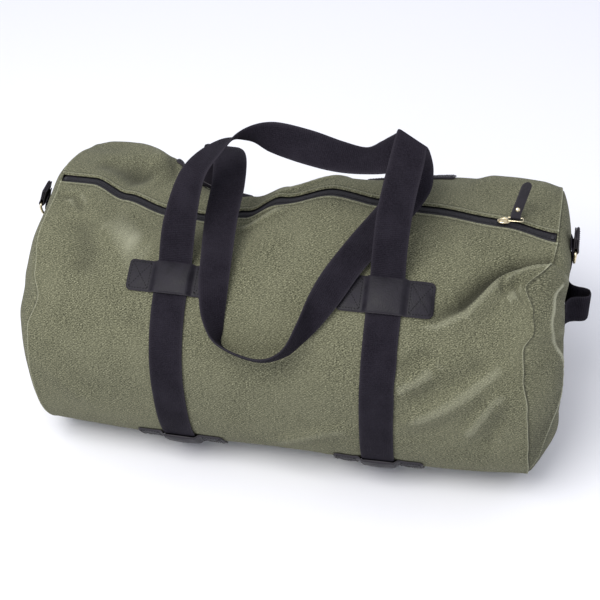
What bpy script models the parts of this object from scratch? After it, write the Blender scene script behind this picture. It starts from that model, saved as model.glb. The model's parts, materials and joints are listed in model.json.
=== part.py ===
"""Canvas duffel bag: a soft barrel with a zip along its top, webbing bands and carry
handles under leather keepers, and D-rings and a grab handle on its ends.

Metres, +Z up. X runs along the bag, -Y is its front, z = 0 is the floor under the
webbing bands, and x = y = 0 is the middle of the whole bag's box.
"""

import bmesh
import bpy
import math
from mathutils import Vector

# The bag's body
HALF_LENGTH = 0.286          # middle to an end seam
HALF_WIDTH = 0.180           # half of the bag's depth, front to back
END_NARROWING = 0.008        # how much less the half width is at an end seam
TOP_Z = 0.283
WIDEST_Z = 0.145             # height where the bag is widest
SUNK_Z = -0.010              # where the round bottom would reach without the floor
BOTTOM_Z = 0.0036            # underside of the canvas, just clear of the webbing
UPPER_POWER = 2.15           # superellipse powers of the upper and lower half
LOWER_POWER = 2.7
CANVAS = 0.0016
GAP = 0.0003
SEWN_GAP = 0.0010            # between the round canvas and what is sewn on it
END_GAP = 0.0011             # between an end panel and what is sewn on it
BODY_Y = 0.008               # the body's middle plane, so that the whole box is centred
REAR_DENT_X = -0.065         # middle of the dent where the rear of the top sags
REAR_DENT_RIGHT = 0.085      # its reach along the bag towards +X
REAR_DENT_LEFT = 0.082       # and towards -X
REAR_DENT_ANGLE = math.radians(-58)
REAR_DENT_SPREAD = math.radians(46)
REAR_DENT_IN = 0.046         # how far it goes towards the front
REAR_DENT_DOWN = 0.050
END_BULGE = 0.022            # how far an end panel stands out
BULGE_POWER = 6              # how squarely it does
BINDING_DEPTH = 0.014
BINDING_THICKNESS = 0.0018

# The slack fold that stands out low on the right end panel's front
END_FOLD = 0.0125            # how far
END_FOLD_Y = -0.112          # its crest
END_FOLD_FRONT = 0.038       # its reach towards the front and towards the rear
END_FOLD_REAR = 0.030
END_FOLD_FOOT = 0.008        # heights between which it rises and fades
END_FOLD_FULL = 0.038
END_FOLD_FADE = 0.195
END_FOLD_TOP = 0.245

# The zip, a straight line a little askew to the bag
ZIP_Y = 0.008                # its y, from the body's middle plane, at x = 0
ZIP_SLOPE = -0.025
SLOT_HALF = 0.0080           # half of the gap between the panel's edges
TAPE_WIDTH = 0.0145
TAPE_THICKNESS = 0.0008
COIL_WIDTH = 0.0026
COIL_HEIGHT = 0.0016
ZIP_END = 0.267              # the coils' and tapes' ends
SLIDER_X = 0.233             # the closed zip's slider
PULL_X = SLIDER_X + 0.0125   # middle of the leather pull tab
TAB_LEAN = math.radians(50)  # the tab's rise above level, leaning back
TAB_TURN = 0.27              # how far the tab's tip is swung towards +X, by its length
TAB_LENGTH = 0.040
TAB_WIDTH = 0.0112
TAB_LEATHER = 0.0013
WIRE_RADIUS = 0.0007

# Webbing and leather
BAND_X = 0.118               # each band's middle
WEBBING_WIDTH = 0.038
WEBBING = 0.0026
LEATHER = 0.0018
KEEPER_LENGTH = 0.104
KEEPER_HEIGHT = 0.040
UPPER_KEEPER_Y = 0.094       # the upper keepers' upper edge
LOWER_KEEPER_ANGLE = math.radians(116)
ROOT_LIFT = 0.0088           # the handles' lower ends over the canvas, clear of the keepers

# The D-rings, end strips and grab handle
END_Y = 0.010                # their middle, from the body's middle plane
BAR_Z = 0.251                # axis of a D-ring's straight bar
BAR_STAND_OFF = 0.0095       # from the end panel to that axis
TAB_HEIGHT = 0.021
TAB_SLANT = 0.0075           # how far the leather leans in towards its upper end
TAB_HALF_WIDTH = 0.011
RING_WIRE = 0.0016
RING_DROP = 0.019
STRIP_HALF_WIDTH = 0.0125
GRAB_Z = 0.174
GRAB_STAND_OFF = 0.030

STRIP_TOP = 0.008            # end strips' upper ends, above the D-rings' bars
STATIONS = 57                # sections along the body
AROUND = 46                  # faces around the body


# ---------------------------------------------------------------- the body's surface

def half_width(x):
    return HALF_WIDTH - END_NARROWING * min(1.0, abs(x) / HALF_LENGTH) ** 3


def raw_section(x, angle):
    """(y, z) of the skin at an angle from the top, positive towards the front."""
    sine, cosine = math.sin(angle), math.cos(angle)
    upper = cosine >= 0
    power = UPPER_POWER if upper else LOWER_POWER
    height = TOP_Z - WIDEST_Z if upper else WIDEST_Z - SUNK_Z
    y = -math.copysign(half_width(x) * abs(sine) ** (2 / power), sine)
    z = WIDEST_Z + math.copysign(height * abs(cosine) ** (2 / power), cosine)
    sag = rear_dent(x, angle)
    return y - REAR_DENT_IN * sag, max(z, BOTTOM_Z) - REAR_DENT_DOWN * sag


def rear_dent(x, angle):
    """1 in the middle of the dent in the rear of the top, and 0 round it."""
    turned = (angle + math.pi) % (2 * math.pi) - math.pi
    share = max(0.0, 1 - abs(turned - REAR_DENT_ANGLE) / REAR_DENT_SPREAD)
    length = REAR_DENT_LEFT if x < REAR_DENT_X else REAR_DENT_RIGHT
    return math.sin(share * math.pi / 2) ** 2 * math.exp(-((x - REAR_DENT_X) / length) ** 2)


def skin(x, angle, lift=0.0):
    """A point of the skin, moved out along its normal by lift."""
    step = 0.004
    y, z = raw_section(x, angle)
    y0, z0 = raw_section(x, angle - step)
    y1, z1 = raw_section(x, angle + step)
    along = Vector((0, y1 - y0, z1 - z0)).normalized()
    return Vector((x, y, z)) + lift * Vector((0, -along.z, along.y)) * -1


def angle_at_y(x, y):
    """The angle where the upper skin has this y."""
    share = min(1.0, abs(y) / half_width(x)) ** (UPPER_POWER / 2)
    return math.copysign(math.asin(share), -y)


def angle_after(x, angle, distance):
    """The angle that lies a distance further round the skin."""
    step = 0.002
    point = skin(x, angle)
    while distance > 0:
        angle += step
        following = skin(x, angle)
        distance -= (following - point).length
        point = following
    return angle


def zip_y(x):
    return ZIP_Y + ZIP_SLOPE * x


def rim_fraction(y, z):
    """0 at an end panel's middle, 1 at its rim."""
    upper = z >= WIDEST_Z
    power = UPPER_POWER if upper else LOWER_POWER
    height = TOP_Z - WIDEST_Z if upper else WIDEST_Z - SUNK_Z
    width = half_width(HALF_LENGTH)
    return ((abs(y) / width) ** power + (abs(z - WIDEST_Z) / height) ** power) ** (1 / power)


def end_fold(side, y, z):
    """How far the right end's slack fold stands out past the plain dome."""
    if side < 0:
        return 0.0
    rising = max(0.0, min(1.0, (z - END_FOLD_FOOT) / (END_FOLD_FULL - END_FOLD_FOOT)))
    fading = max(0.0, min(1.0, (END_FOLD_TOP - z) / (END_FOLD_TOP - END_FOLD_FADE)))
    reach = END_FOLD_FRONT if y < END_FOLD_Y else END_FOLD_REAR
    return END_FOLD * rising * fading * math.exp(-((y - END_FOLD_Y) / reach) ** 2)


def end_skin(side, y, z, lift=0.0):
    """A point of the end panel's outer face."""
    share = rim_fraction(y, z)
    bulge = END_BULGE * max(0.0, 1 - share ** BULGE_POWER)
    bulge += end_fold(side, y, z) * max(0.0, 1 - share ** (2 * BULGE_POWER))
    return Vector((side * (HALF_LENGTH + GAP + CANVAS + bulge + lift), y, z))


# ---------------------------------------------------------------------- mesh helpers

def material(name, colour, roughness, metallic=0.0):
    made = bpy.data.materials.new(name)
    made.use_nodes = True
    shader = made.node_tree.nodes["Principled BSDF"]
    shader.inputs["Base Color"].default_value = (*colour, 1)
    shader.inputs["Roughness"].default_value = roughness
    shader.inputs["Metallic"].default_value = metallic
    return made


def add_object(name, mesh, finish, origin=(0, 0, 0)):
    """Adds a node whose points are given in the bag's frame, with its origin at a pivot."""
    colour, roughness, metallic = finish
    pivot = Vector(origin)
    for vertex in mesh.vertices:
        vertex.co -= pivot
    mesh.materials.append(material(name, colour, roughness, metallic))
    mesh.shade_smooth()
    mesh.set_sharp_from_angle(angle=math.radians(35))
    made = bpy.data.objects.new(name, mesh)
    made.location = pivot + Vector((0, BODY_Y, 0))
    bpy.context.scene.collection.objects.link(made)
    return made


def outward(mesh):
    """Turns the faces of one closed body out."""
    shape = bmesh.new()
    shape.from_mesh(mesh)
    bmesh.ops.recalc_face_normals(shape, faces=shape.faces)
    shape.to_mesh(mesh)
    shape.free()
    return mesh


def mesh_of(name, points, faces):
    mesh = bpy.data.meshes.new(name)
    mesh.from_pydata([tuple(point) for point in points], [], faces)
    mesh.update()
    return outward(mesh)


def slab(name, outer, inner, closed_across=False):
    """A closed sheet between two grids of points, each a list of rows."""
    rows, columns = len(outer), len(outer[0])
    points = [point for row in outer for point in row]
    points += [point for row in inner for point in row]
    below = rows * columns

    def index(row, column):
        return row * columns + column % columns

    faces = []
    last = columns if closed_across else columns - 1
    for row in range(rows - 1):
        for column in range(last):
            square = (index(row, column), index(row, column + 1),
                      index(row + 1, column + 1), index(row + 1, column))
            faces.append(square)
            faces.append(tuple(below + corner for corner in reversed(square)))
    for row in (0, rows - 1):
        for column in range(last):
            near, far = index(row, column), index(row, column + 1)
            faces.append((near, far, below + far, below + near))
    if not closed_across:
        for column in (0, columns - 1):
            for row in range(rows - 1):
                near, far = index(row, column), index(row + 1, column)
                faces.append((near, far, below + far, below + near))
    return mesh_of(name, points, faces)


def spaced(low, high, count):
    return [low + (high - low) * step / (count - 1) for step in range(count)]


def smooth_path(points, samples):
    """Points evenly spaced in parameter on a Catmull-Rom curve through the given ones."""
    ends = [2 * points[0] - points[1]] + list(points) + [2 * points[-1] - points[-2]]
    made = []
    spans = len(points) - 1
    for step in range(samples):
        place = spans * step / (samples - 1)
        span = min(int(place), spans - 1)
        t = place - span
        a, b, c, d = ends[span:span + 4]
        made.append(0.5 * (2 * b + (c - a) * t + (2 * a - 5 * b + 4 * c - d) * t * t
                           + (3 * b - a - 3 * c + d) * t ** 3))
    return made


def ribbon(name, edges, thickness, samples):
    """A flat strap. edges is a list of (one edge, other edge) across it."""
    first = smooth_path([Vector(pair[0]) for pair in edges], samples)
    second = smooth_path([Vector(pair[1]) for pair in edges], samples)
    front, back = [], []
    for step in range(samples):
        before, after = max(step - 1, 0), min(step + 1, samples - 1)
        along = first[after] + second[after] - first[before] - second[before]
        normal = along.cross(second[step] - first[step]).normalized() * thickness / 2
        row = [first[step], second[step]]
        front.append([point + normal for point in row])
        back.append([point - normal for point in row])
    return slab(name, front, back)


def tube(name, centres, radius, sides=6):
    """A closed ring of round wire through the given centres."""
    count = len(centres)
    rows = []
    middle = sum(centres, Vector()) / count
    plane = (centres[0] - middle).cross(centres[count // 4] - middle).normalized()
    for step, centre in enumerate(centres):
        along = (centres[(step + 1) % count] - centres[step - 1]).normalized()
        across = along.cross(plane).normalized()
        turns = [2 * math.pi * side / sides for side in range(sides)]
        rows.append([centre + radius * (math.cos(turn) * across + math.sin(turn) * plane)
                     for turn in turns])
    points = [point for row in rows for point in row]
    faces = []
    for row in range(count):
        for side in range(sides):
            following = (row + 1) % count
            faces.append((row * sides + side, row * sides + (side + 1) % sides,
                          following * sides + (side + 1) % sides, following * sides + side))
    return mesh_of(name, points, faces)


def box(name, low, high):
    corners = [(x, y, z) for x in (low[0], high[0]) for y in (low[1], high[1])
               for z in (low[2], high[2])]
    faces = [(0, 1, 3, 2), (4, 6, 7, 5), (0, 4, 5, 1), (2, 3, 7, 6), (0, 2, 6, 4), (1, 5, 7, 3)]
    return mesh_of(name, corners, faces)


def turned(name, profile, centre, axis, sides=20):
    """A solid turned from (radius, distance) pairs about an axis, closed at both ends."""
    axis = Vector(axis).normalized()
    across = axis.orthogonal().normalized()
    other = axis.cross(across)
    points, faces = [], []
    for radius, distance in profile:
        for side in range(sides):
            turn = 2 * math.pi * side / sides
            spoke = math.cos(turn) * across + math.sin(turn) * other
            points.append(Vector(centre) + distance * axis + radius * spoke)
    for ring in range(len(profile) - 1):
        for side in range(sides):
            following = (side + 1) % sides
            faces.append((ring * sides + side, ring * sides + following,
                          (ring + 1) * sides + following, (ring + 1) * sides + side))
    faces.append(tuple(range(sides)))
    last = (len(profile) - 1) * sides
    faces.append(tuple(range(last, last + sides)))
    return mesh_of(name, points, faces)


# ------------------------------------------------------------------------- the canvas

def make_main_panel():
    """One canvas panel from the zip's front edge, under the bag, to its rear edge."""
    outer, inner = [], []
    for x in spaced(-HALF_LENGTH, HALF_LENGTH, STATIONS):
        start = angle_at_y(x, zip_y(x) - SLOT_HALF)
        stop = 2 * math.pi + angle_at_y(x, zip_y(x) + SLOT_HALF)
        angles = spaced(start, stop, AROUND + 1)
        outer.append([skin(x, angle) for angle in angles])
        inner.append([skin(x, angle, -CANVAS) for angle in angles])
    add_object("main_panel", slab("main_panel", outer, inner), CANVAS_FINISH)


def make_end_panel(name, side):
    rings = (1.0, 0.96, 0.88, 0.76, 0.62, 0.42, 0.2)
    around = 48
    faces, points = [], []
    for depth in (0.0, CANVAS):
        for share in rings:
            for step in range(around):
                y, z = raw_section(HALF_LENGTH, 2 * math.pi * step / around)
                y, z = share * y, WIDEST_Z + share * (z - WIDEST_Z)
                points.append(end_skin(side, y, z, depth - CANVAS))
        points.append(end_skin(side, 0, WIDEST_Z, depth - CANVAS))
    layer = len(points) // 2
    for below in (0, layer):
        for ring in range(len(rings) - 1):
            for step in range(around):
                following = (step + 1) % around
                faces.append(tuple(below + corner for corner in (
                    ring * around + step, ring * around + following,
                    (ring + 1) * around + following, (ring + 1) * around + step)))
        last = (len(rings) - 1) * around
        for step in range(around):
            faces.append((below + last + step, below + last + (step + 1) % around,
                          below + layer - 1))
    for step in range(around):
        following = (step + 1) % around
        faces.append((step, following, layer + following, layer + step))
    add_object(name, mesh_of(name, points, faces), CANVAS_FINISH)


def make_seam_binding(name, side):
    """The tape bound over the seam allowances inside an end seam."""
    outer, inner = [], []
    edge = side * (HALF_LENGTH - 0.001)
    for x in (edge - side * BINDING_DEPTH, edge):
        angles = [2 * math.pi * step / 32 for step in range(32)]
        depth = CANVAS + TAPE_THICKNESS + 3 * GAP
        outer.append([skin(x, angle, -depth) for angle in angles])
        inner.append([skin(x, angle, -depth - BINDING_THICKNESS) for angle in angles])
    add_object(name, slab(name, outer, inner, True), BINDING_FINISH)


# ---------------------------------------------------------------------------- the zip

def make_zip_strip(name, low, high, top, thickness, finish):
    """A strip along the zip, between two distances from its line and under a depth."""
    outer, inner = [], []
    for x in spaced(-ZIP_END, ZIP_END, 45):
        angles = [angle_at_y(x, zip_y(x) + offset) for offset in spaced(low, high, 4)]
        outer.append([skin(x, angle, -top) for angle in angles])
        inner.append([skin(x, angle, -top - thickness) for angle in angles])
    add_object(name, slab(name, outer, inner), finish)


def make_zip():
    tape_top = CANVAS + GAP
    coil_top = tape_top - GAP - COIL_HEIGHT
    for name, side in (("front", -1), ("rear", 1)):
        low, high = sorted((side * 0.0004, side * TAPE_WIDTH))
        make_zip_strip("zip_tape_" + name, low, high, tape_top, TAPE_THICKNESS, TAPE_FINISH)
        low, high = sorted((side * 0.0002, side * COIL_WIDTH))
        make_zip_strip("zip_coil_" + name, low, high, coil_top, COIL_HEIGHT, COIL_FINISH)
    for name, side in (("zip_stop_left", -1), ("zip_stop_right", 1)):
        x = side * (ZIP_END + 0.003)
        y = zip_y(x)
        low = (x - 0.0025, y - 0.003, TOP_Z - 0.0017)
        high = (x + 0.0025, y + 0.003, TOP_Z + 0.0006)
        add_object(name, box(name, low, high), COIL_FINISH)


def slider_base():
    """Where the slider's underside sits on the closed coils."""
    return Vector((SLIDER_X, zip_y(SLIDER_X), TOP_Z + 0.0003))


def make_slider():
    """The slider's oval top plate with its flanges and the bridge that holds the pull."""
    base = slider_base()
    outline = []
    for step in range(24):
        turn = 2 * math.pi * step / 24
        outline.append((0.0072 * math.cos(turn), 0.0046 * math.sin(turn)))
    levels = ((0.84, 0.0), (1.0, 0.0006), (1.0, 0.0016), (0.86, 0.0022))
    points = [base + Vector((share * x, share * y, height)) for share, height in levels
              for x, y in outline]
    faces = [tuple(range(24)), tuple(range(72, 96))]
    for level in range(3):
        for step in range(24):
            following = (step + 1) % 24
            faces.append((level * 24 + step, level * 24 + following,
                          (level + 1) * 24 + following, (level + 1) * 24 + step))
    plate = add_object("zip_slider", mesh_of("zip_slider", points, faces), BRASS_FINISH, base)
    bridge_path = [Vector((-0.0045, 0, 0.0012)), Vector((-0.0042, 0, 0.0034)),
                   Vector((-0.0005, 0, 0.0056)), Vector((0.0042, 0, 0.0054)),
                   Vector((0.0058, 0, 0.0036)), Vector((0.0060, 0, 0.0012))]
    edges = [(base + point - Vector((0, 0.0011, 0)), base + point + Vector((0, 0.0011, 0)))
             for point in bridge_path]
    bridge = add_object("slider_bridge", ribbon("slider_bridge", edges, 0.0009, 16),
                        BRASS_FINISH, base)
    join(plate, bridge)


def join(target, other):
    """Unites another body with the target and hides the other."""
    union = target.modifiers.new("union", "BOOLEAN")
    union.operation = "UNION"
    union.solver = "EXACT"
    union.object = other
    other.hide_render = True
    other.display_type = "WIRE"


def cut(target, other):
    difference = target.modifiers.new("hole", "BOOLEAN")
    difference.operation = "DIFFERENCE"
    difference.solver = "EXACT"
    difference.object = other
    other.hide_render = True
    other.display_type = "WIRE"


def wire_axis():
    """The pull wire's near end, under the slider's bridge."""
    return slider_base() + Vector((0.0036, 0, 0.0036))


def tab_axis():
    """The pull wire's long rear side, which the leather tab is folded round."""
    return wire_axis() + Vector((PULL_X - SLIDER_X - 0.0036, 0.0032, 0.0012))


def make_pull():
    """The wire loop through the slider's bridge, the folded leather tab and its rivet."""
    near, rear = wire_axis(), tab_axis()
    length, half = 0.0175, 0.0032
    corner = 0.0018
    centres = []
    for middle_x, middle_y, start in ((length - corner, half - corner, 0),
                                      (corner, half - corner, 90),
                                      (corner, corner - half, 180),
                                      (length - corner, corner - half, 270)):
        for step in range(5):
            turn = math.radians(start + 90 * step / 4)
            x = middle_x + corner * math.cos(turn)
            rise = 0.0012 * min(1.0, x / corner)
            centres.append(near + Vector((x, middle_y + corner * math.sin(turn), rise)))
    add_object("zip_pull", tube("zip_pull", centres, WIRE_RADIUS), BRASS_FINISH, near)

    up = Vector((0, math.cos(TAB_LEAN), math.sin(TAB_LEAN)))
    out = Vector((0, -math.sin(TAB_LEAN), math.cos(TAB_LEAN)))
    wrap = WIRE_RADIUS + GAP + TAB_LEATHER / 2
    path = []
    for distance in (TAB_LENGTH, TAB_LENGTH - 0.0016, TAB_LENGTH - 0.0056, 0.022, 0.010, 0.004):
        path.append((distance, wrap))
    for step in range(7):
        turn = math.radians(90 + 180 * step / 6)
        path.append((wrap * math.cos(turn), wrap * math.sin(turn)))
    for distance in (0.004, 0.010, 0.022, TAB_LENGTH - 0.0066, TAB_LENGTH - 0.0026,
                     TAB_LENGTH - 0.001):
        splay = 0.0018 * max(0.0, (distance - 0.010) / TAB_LENGTH)
        path.append((distance, -wrap - splay))
    edges = []
    for distance, offset in path:
        tip = max(0.0, distance - (TAB_LENGTH - TAB_WIDTH / 2)) / (TAB_WIDTH / 2)
        half = TAB_WIDTH / 2 * math.sqrt(max(0.0, 1 - min(tip, 0.93) ** 2))
        middle = rear + distance * up + offset * out
        middle.x += TAB_TURN * max(0.0, distance - 0.003)
        edges.append((middle - Vector((half, 0, 0)), middle + Vector((half, 0, 0))))
    tab = add_object("pull_tab", ribbon("pull_tab", edges, TAB_LEATHER, 46), LEATHER_FINISH, rear)

    rivet_middle = rear + 0.009 * up + Vector((0.006 * TAB_TURN, 0, 0))
    reach = wrap + TAB_LEATHER / 2 + GAP
    hole = add_object("rivet_hole", turned("rivet_hole", ((0.0013, -0.005), (0.0013, 0.005)),
                                           rivet_middle, out, 16), BRASS_FINISH, rear)
    cut(tab, hole)
    profile = ((0.0012, -reach - 0.0010), (0.0026, -reach - 0.0006), (0.0028, -reach),
               (0.0010, -reach), (0.0010, reach), (0.0028, reach),
               (0.0026, reach + 0.0006), (0.0012, reach + 0.0010))
    add_object("pull_rivet", turned("pull_rivet", profile, rivet_middle, out), BRASS_FINISH, rear)


# ------------------------------------------------------------------ webbing and leather

def make_band(name, x):
    """Webbing sewn round the bag, from the front upper keeper to the rear one."""
    start = angle_after(x, angle_at_y(x, -UPPER_KEEPER_Y), 0.003)
    outer, inner = [], []
    for angle in spaced(start, 2 * math.pi - start, 53):
        across = spaced(x - WEBBING_WIDTH / 2, x + WEBBING_WIDTH / 2, 5)
        outer.append([skin(place, angle, SEWN_GAP + WEBBING) for place in across])
        inner.append([skin(place, angle, SEWN_GAP) for place in across])
    add_object(name, slab(name, outer, inner), WEBBING_FINISH)


def keeper_lift(distance):
    """How far a keeper's underside stands off the canvas, by distance from its middle."""
    clear = WEBBING + 2 * GAP
    flat = WEBBING_WIDTH / 2 + 0.0006
    slope = max(0.0, min(1.0, (distance - flat) / 0.004))
    return SEWN_GAP + clear * (1 - slope)


def make_keeper(name, x, start, mirrored):
    """A leather keeper: a flat patch each side of a raised middle over the webbing."""
    stop = angle_after(x, start, KEEPER_HEIGHT)
    half = KEEPER_LENGTH / 2
    flat = WEBBING_WIDTH / 2 + 0.0006
    places = (-half, 0.014 - half, -flat - 0.004, *spaced(-flat, flat, 5), flat + 0.004,
              half - 0.014, half)
    outer, inner = [], []
    for angle in spaced(start, stop, 6):
        turn = -angle if mirrored else angle
        outer.append([skin(x + place, turn, keeper_lift(abs(place)) + LEATHER)
                      for place in places])
        inner.append([skin(x + place, turn, keeper_lift(abs(place))) for place in places])
    add_object(name, slab(name, outer, inner), LEATHER_FINISH)


def make_keepers():
    for side, x in (("left", -BAND_X), ("right", BAND_X)):
        upper = angle_at_y(x, -UPPER_KEEPER_Y)
        make_keeper("upper_keeper_front_" + side, x, upper, False)
        make_keeper("upper_keeper_rear_" + side, x, upper, True)
        make_keeper("lower_keeper_front_" + side, x, LOWER_KEEPER_ANGLE, False)
        make_keeper("lower_keeper_rear_" + side, x, LOWER_KEEPER_ANGLE, True)


# ------------------------------------------------------------------------- the handles

# The front handle is drawn flat, as (x, distance up from its keepers, height off the
# sheet towards the front), and the sheet is then stood up and leant back.
FRONT_HANDLE = [
    ((-0.137, 0.000, 0.000), (-0.099, 0.000, 0.000)),
    ((-0.128, 0.0435, 0.000), (-0.091, 0.0465, 0.000)),
    ((-0.109, 0.0985, -0.010), (-0.081, 0.0915, 0.011)),
    ((-0.076, 0.1305, -0.017), (-0.065, 0.1175, 0.016)),
    ((-0.045, 0.1375, -0.018), (-0.047, 0.1435, 0.018)),
    ((-0.019, 0.1275, -0.012), (-0.017, 0.1575, 0.011)),
    ((0.018, 0.1165, -0.005), (0.024, 0.1525, 0.003)),
    ((0.053, 0.1095, -0.003), (0.058, 0.1435, -0.013)),
    ((0.084, 0.1085, -0.005), (0.083, 0.1385, -0.020)),
    ((0.114, 0.1135, -0.006), (0.099, 0.1455, -0.011)),
    ((0.134, 0.1285, -0.0055), (0.105, 0.1495, -0.006)),
    ((0.1485, 0.1410, -0.0048), (0.1155, 0.1590, -0.0048)),
    ((0.1500, 0.1435, -0.0024), (0.1170, 0.1615, -0.0024)),
    ((0.1485, 0.1410, 0.0000), (0.1155, 0.1590, 0.0000)),
    ((0.1475, 0.1255, 0.001), (0.1110, 0.1315, 0.001)),
    ((0.1415, 0.0815, 0.001), (0.1035, 0.0785, 0.001)),
    ((0.138, 0.0355, 0.000), (0.1005, 0.0355, 0.000)),
    ((0.137, 0.000, 0.000), (0.099, 0.000, 0.000)),
]
LEAN_AT_KEEPER = math.radians(82)
LEAN_AT_TOP = math.radians(47)
LEAN_LENGTH = 0.110          # the lean changes over this much of the sheet

# The rear handle, from its left keeper over the bag's top, down its front and back.
REAR_HANDLE = [
    ((-0.137, 0.088, 0.2680), (-0.099, 0.0815, 0.2615)),
    ((-0.131, 0.081, 0.289), (-0.094, 0.077, 0.285)),
    ((-0.116, 0.055, 0.317), (-0.078, 0.055, 0.3155)),
    ((-0.099, 0.018, 0.330), (-0.060, 0.018, 0.331)),
    ((-0.091, -0.022, 0.323), (-0.053, -0.023, 0.323)),
    ((-0.091, -0.060, 0.303), (-0.054, -0.060, 0.303)),
    ((-0.088, -0.098, 0.281), (-0.053, -0.100, 0.278)),
    ((-0.083, -0.134, 0.265), (-0.053, -0.130, 0.252)),
    ((-0.072, -0.166, 0.245), (-0.054, -0.152, 0.226)),
    ((-0.050, -0.190, 0.236), (-0.052, -0.166, 0.208)),
    ((-0.008, -0.198, 0.228), (-0.012, -0.173, 0.200)),
    ((0.018, -0.190, 0.236), (0.018, -0.168, 0.208)),
    ((0.031, -0.168, 0.256), (0.036, -0.159, 0.222)),
    ((0.039, -0.136, 0.270), (0.052, -0.148, 0.237)),
    ((0.050, -0.106, 0.282), (0.070, -0.129, 0.256)),
    ((0.071, -0.062, 0.294), (0.092, -0.092, 0.277)),
    ((0.096, -0.024, 0.311), (0.124, -0.046, 0.296)),
    ((0.113, 0.000, 0.324), (0.150, -0.007, 0.318)),
    ((0.113, 0.022, 0.333), (0.152, 0.020, 0.332)),
    ((0.106, 0.048, 0.337), (0.144, 0.050, 0.336)),
    ((0.101, 0.074, 0.319), (0.139, 0.074, 0.319)),
    ((0.099, 0.088, 0.295), (0.137, 0.088, 0.295)),
    ((0.099, 0.094, 0.2745), (0.137, 0.094, 0.2745)),
]


def stand_up(point):
    """Lifts a point of the flat front handle to its place over the bag."""
    x, distance, height = point
    y, z = -UPPER_KEEPER_Y, handle_root_z()
    steps = 40
    for step in range(steps):
        share = min(1.0, distance * (step + 0.5) / steps / LEAN_LENGTH)
        lean = LEAN_AT_KEEPER + (LEAN_AT_TOP - LEAN_AT_KEEPER) * share
        y += math.cos(lean) * distance / steps
        z += math.sin(lean) * distance / steps
    share = min(1.0, distance / LEAN_LENGTH)
    lean = LEAN_AT_KEEPER + (LEAN_AT_TOP - LEAN_AT_KEEPER) * share
    return Vector((x, y - math.sin(lean) * height, z + math.cos(lean) * height))


def handle_root_z():
    """Height of the handles' lower ends, just above the upper keepers."""
    return skin(BAND_X, angle_at_y(BAND_X, -UPPER_KEEPER_Y)).z + ROOT_LIFT


def make_handles():
    root = Vector((0, -UPPER_KEEPER_Y, handle_root_z()))
    edges = [(stand_up(one), stand_up(other)) for one, other in FRONT_HANDLE]
    add_object("front_handle", ribbon("front_handle", edges, WEBBING, 86),
               WEBBING_FINISH, root)
    rear_root = Vector((0, UPPER_KEEPER_Y, handle_root_z()))
    add_object("rear_handle", ribbon("rear_handle", REAR_HANDLE, WEBBING, 80),
               WEBBING_FINISH, rear_root)


# ---------------------------------------------------------------------------- the ends

def ring_axis(side):
    """The middle of a D-ring's straight bar."""
    return end_skin(side, END_Y, BAR_Z, BAR_STAND_OFF)


def make_end_strip(name, side):
    """Webbing sewn up the middle of an end panel."""
    outer, inner = [], []
    for z in spaced(0.030, BAR_Z + STRIP_TOP, 17):
        across = spaced(END_Y - STRIP_HALF_WIDTH, END_Y + STRIP_HALF_WIDTH, 3)
        outer.append([end_skin(side, y, z, END_GAP + 0.0014) for y in across])
        inner.append([end_skin(side, y, z, END_GAP) for y in across])
    add_object(name, slab(name, outer, inner), WEBBING_FINISH)


def make_ring_tab(name, side):
    """Leather folded round the D-ring's bar, its two legs one on the other."""
    bar = ring_axis(side)
    wrap = RING_WIRE + GAP + LEATHER / 2
    path = [(TAB_HEIGHT, -1.0), (TAB_HEIGHT / 2, -1.0), (0.004, -1.0)]
    for step in range(9):
        turn = math.radians(180 + 180 * step / 8)
        path.append((wrap * math.sin(turn), math.cos(turn)))
    path += [(0.004, 1.0), (TAB_HEIGHT / 2, 1.0), (TAB_HEIGHT, 1.0)]
    edges = []
    for rise, share in path:
        slant = TAB_SLANT * max(0.0, rise / TAB_HEIGHT) ** 1.5
        middle = bar + Vector((side * (wrap * share - slant), 0, rise))
        half = Vector((0, TAB_HALF_WIDTH, 0))
        edges.append((middle - half, middle + half))
    add_object(name, ribbon(name, edges, LEATHER, 32), LEATHER_FINISH)


def make_ring(name, side):
    """A D of round wire, hanging from its straight bar."""
    bar = ring_axis(side)
    half = TAB_HALF_WIDTH + 0.003
    centres = [bar + Vector((0, y, 0)) for y in spaced(-half + 0.002, half - 0.002, 5)]
    for step in range(1, 18):
        turn = math.pi * step / 18
        y = half * math.cos(turn)
        drop = RING_DROP * math.sin(turn) ** 0.8
        centres.append(bar + Vector((0, y, -drop)))
    add_object(name, tube(name, centres, RING_WIRE), BRASS_FINISH, bar)


def make_grab_handle(name, side):
    """A loop of webbing that stands off an end panel, sewn flat at both ends."""
    half = WEBBING_WIDTH / 2
    strip = END_GAP + 0.0014 + END_GAP + WEBBING / 2
    leg = ((-0.036, strip), (-0.027, strip), (-0.0185, strip + 0.0008), (-0.0120, 0.0085),
           (-0.0090, 0.0155), (-0.0080, 0.0225), (-0.0055, 0.0283))
    path = (*leg, (0, GRAB_STAND_OFF), *((-y, lift) for y, lift in reversed(leg)))
    edges = []
    for y, lift in path:
        share = min(1.0, max(0.0, (lift - strip) / 0.02))
        y += END_Y
        level = end_skin(side, y, GRAB_Z, lift)
        low = end_skin(side, y, GRAB_Z - half, lift)
        high = end_skin(side, y, GRAB_Z + half, lift)
        low.x += (level.x - low.x) * share
        high.x += (level.x - high.x) * share
        edges.append((low, high))
    add_object(name, ribbon(name, edges, WEBBING, 44), WEBBING_FINISH)


# --------------------------------------------------------------------- finishes, build

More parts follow.
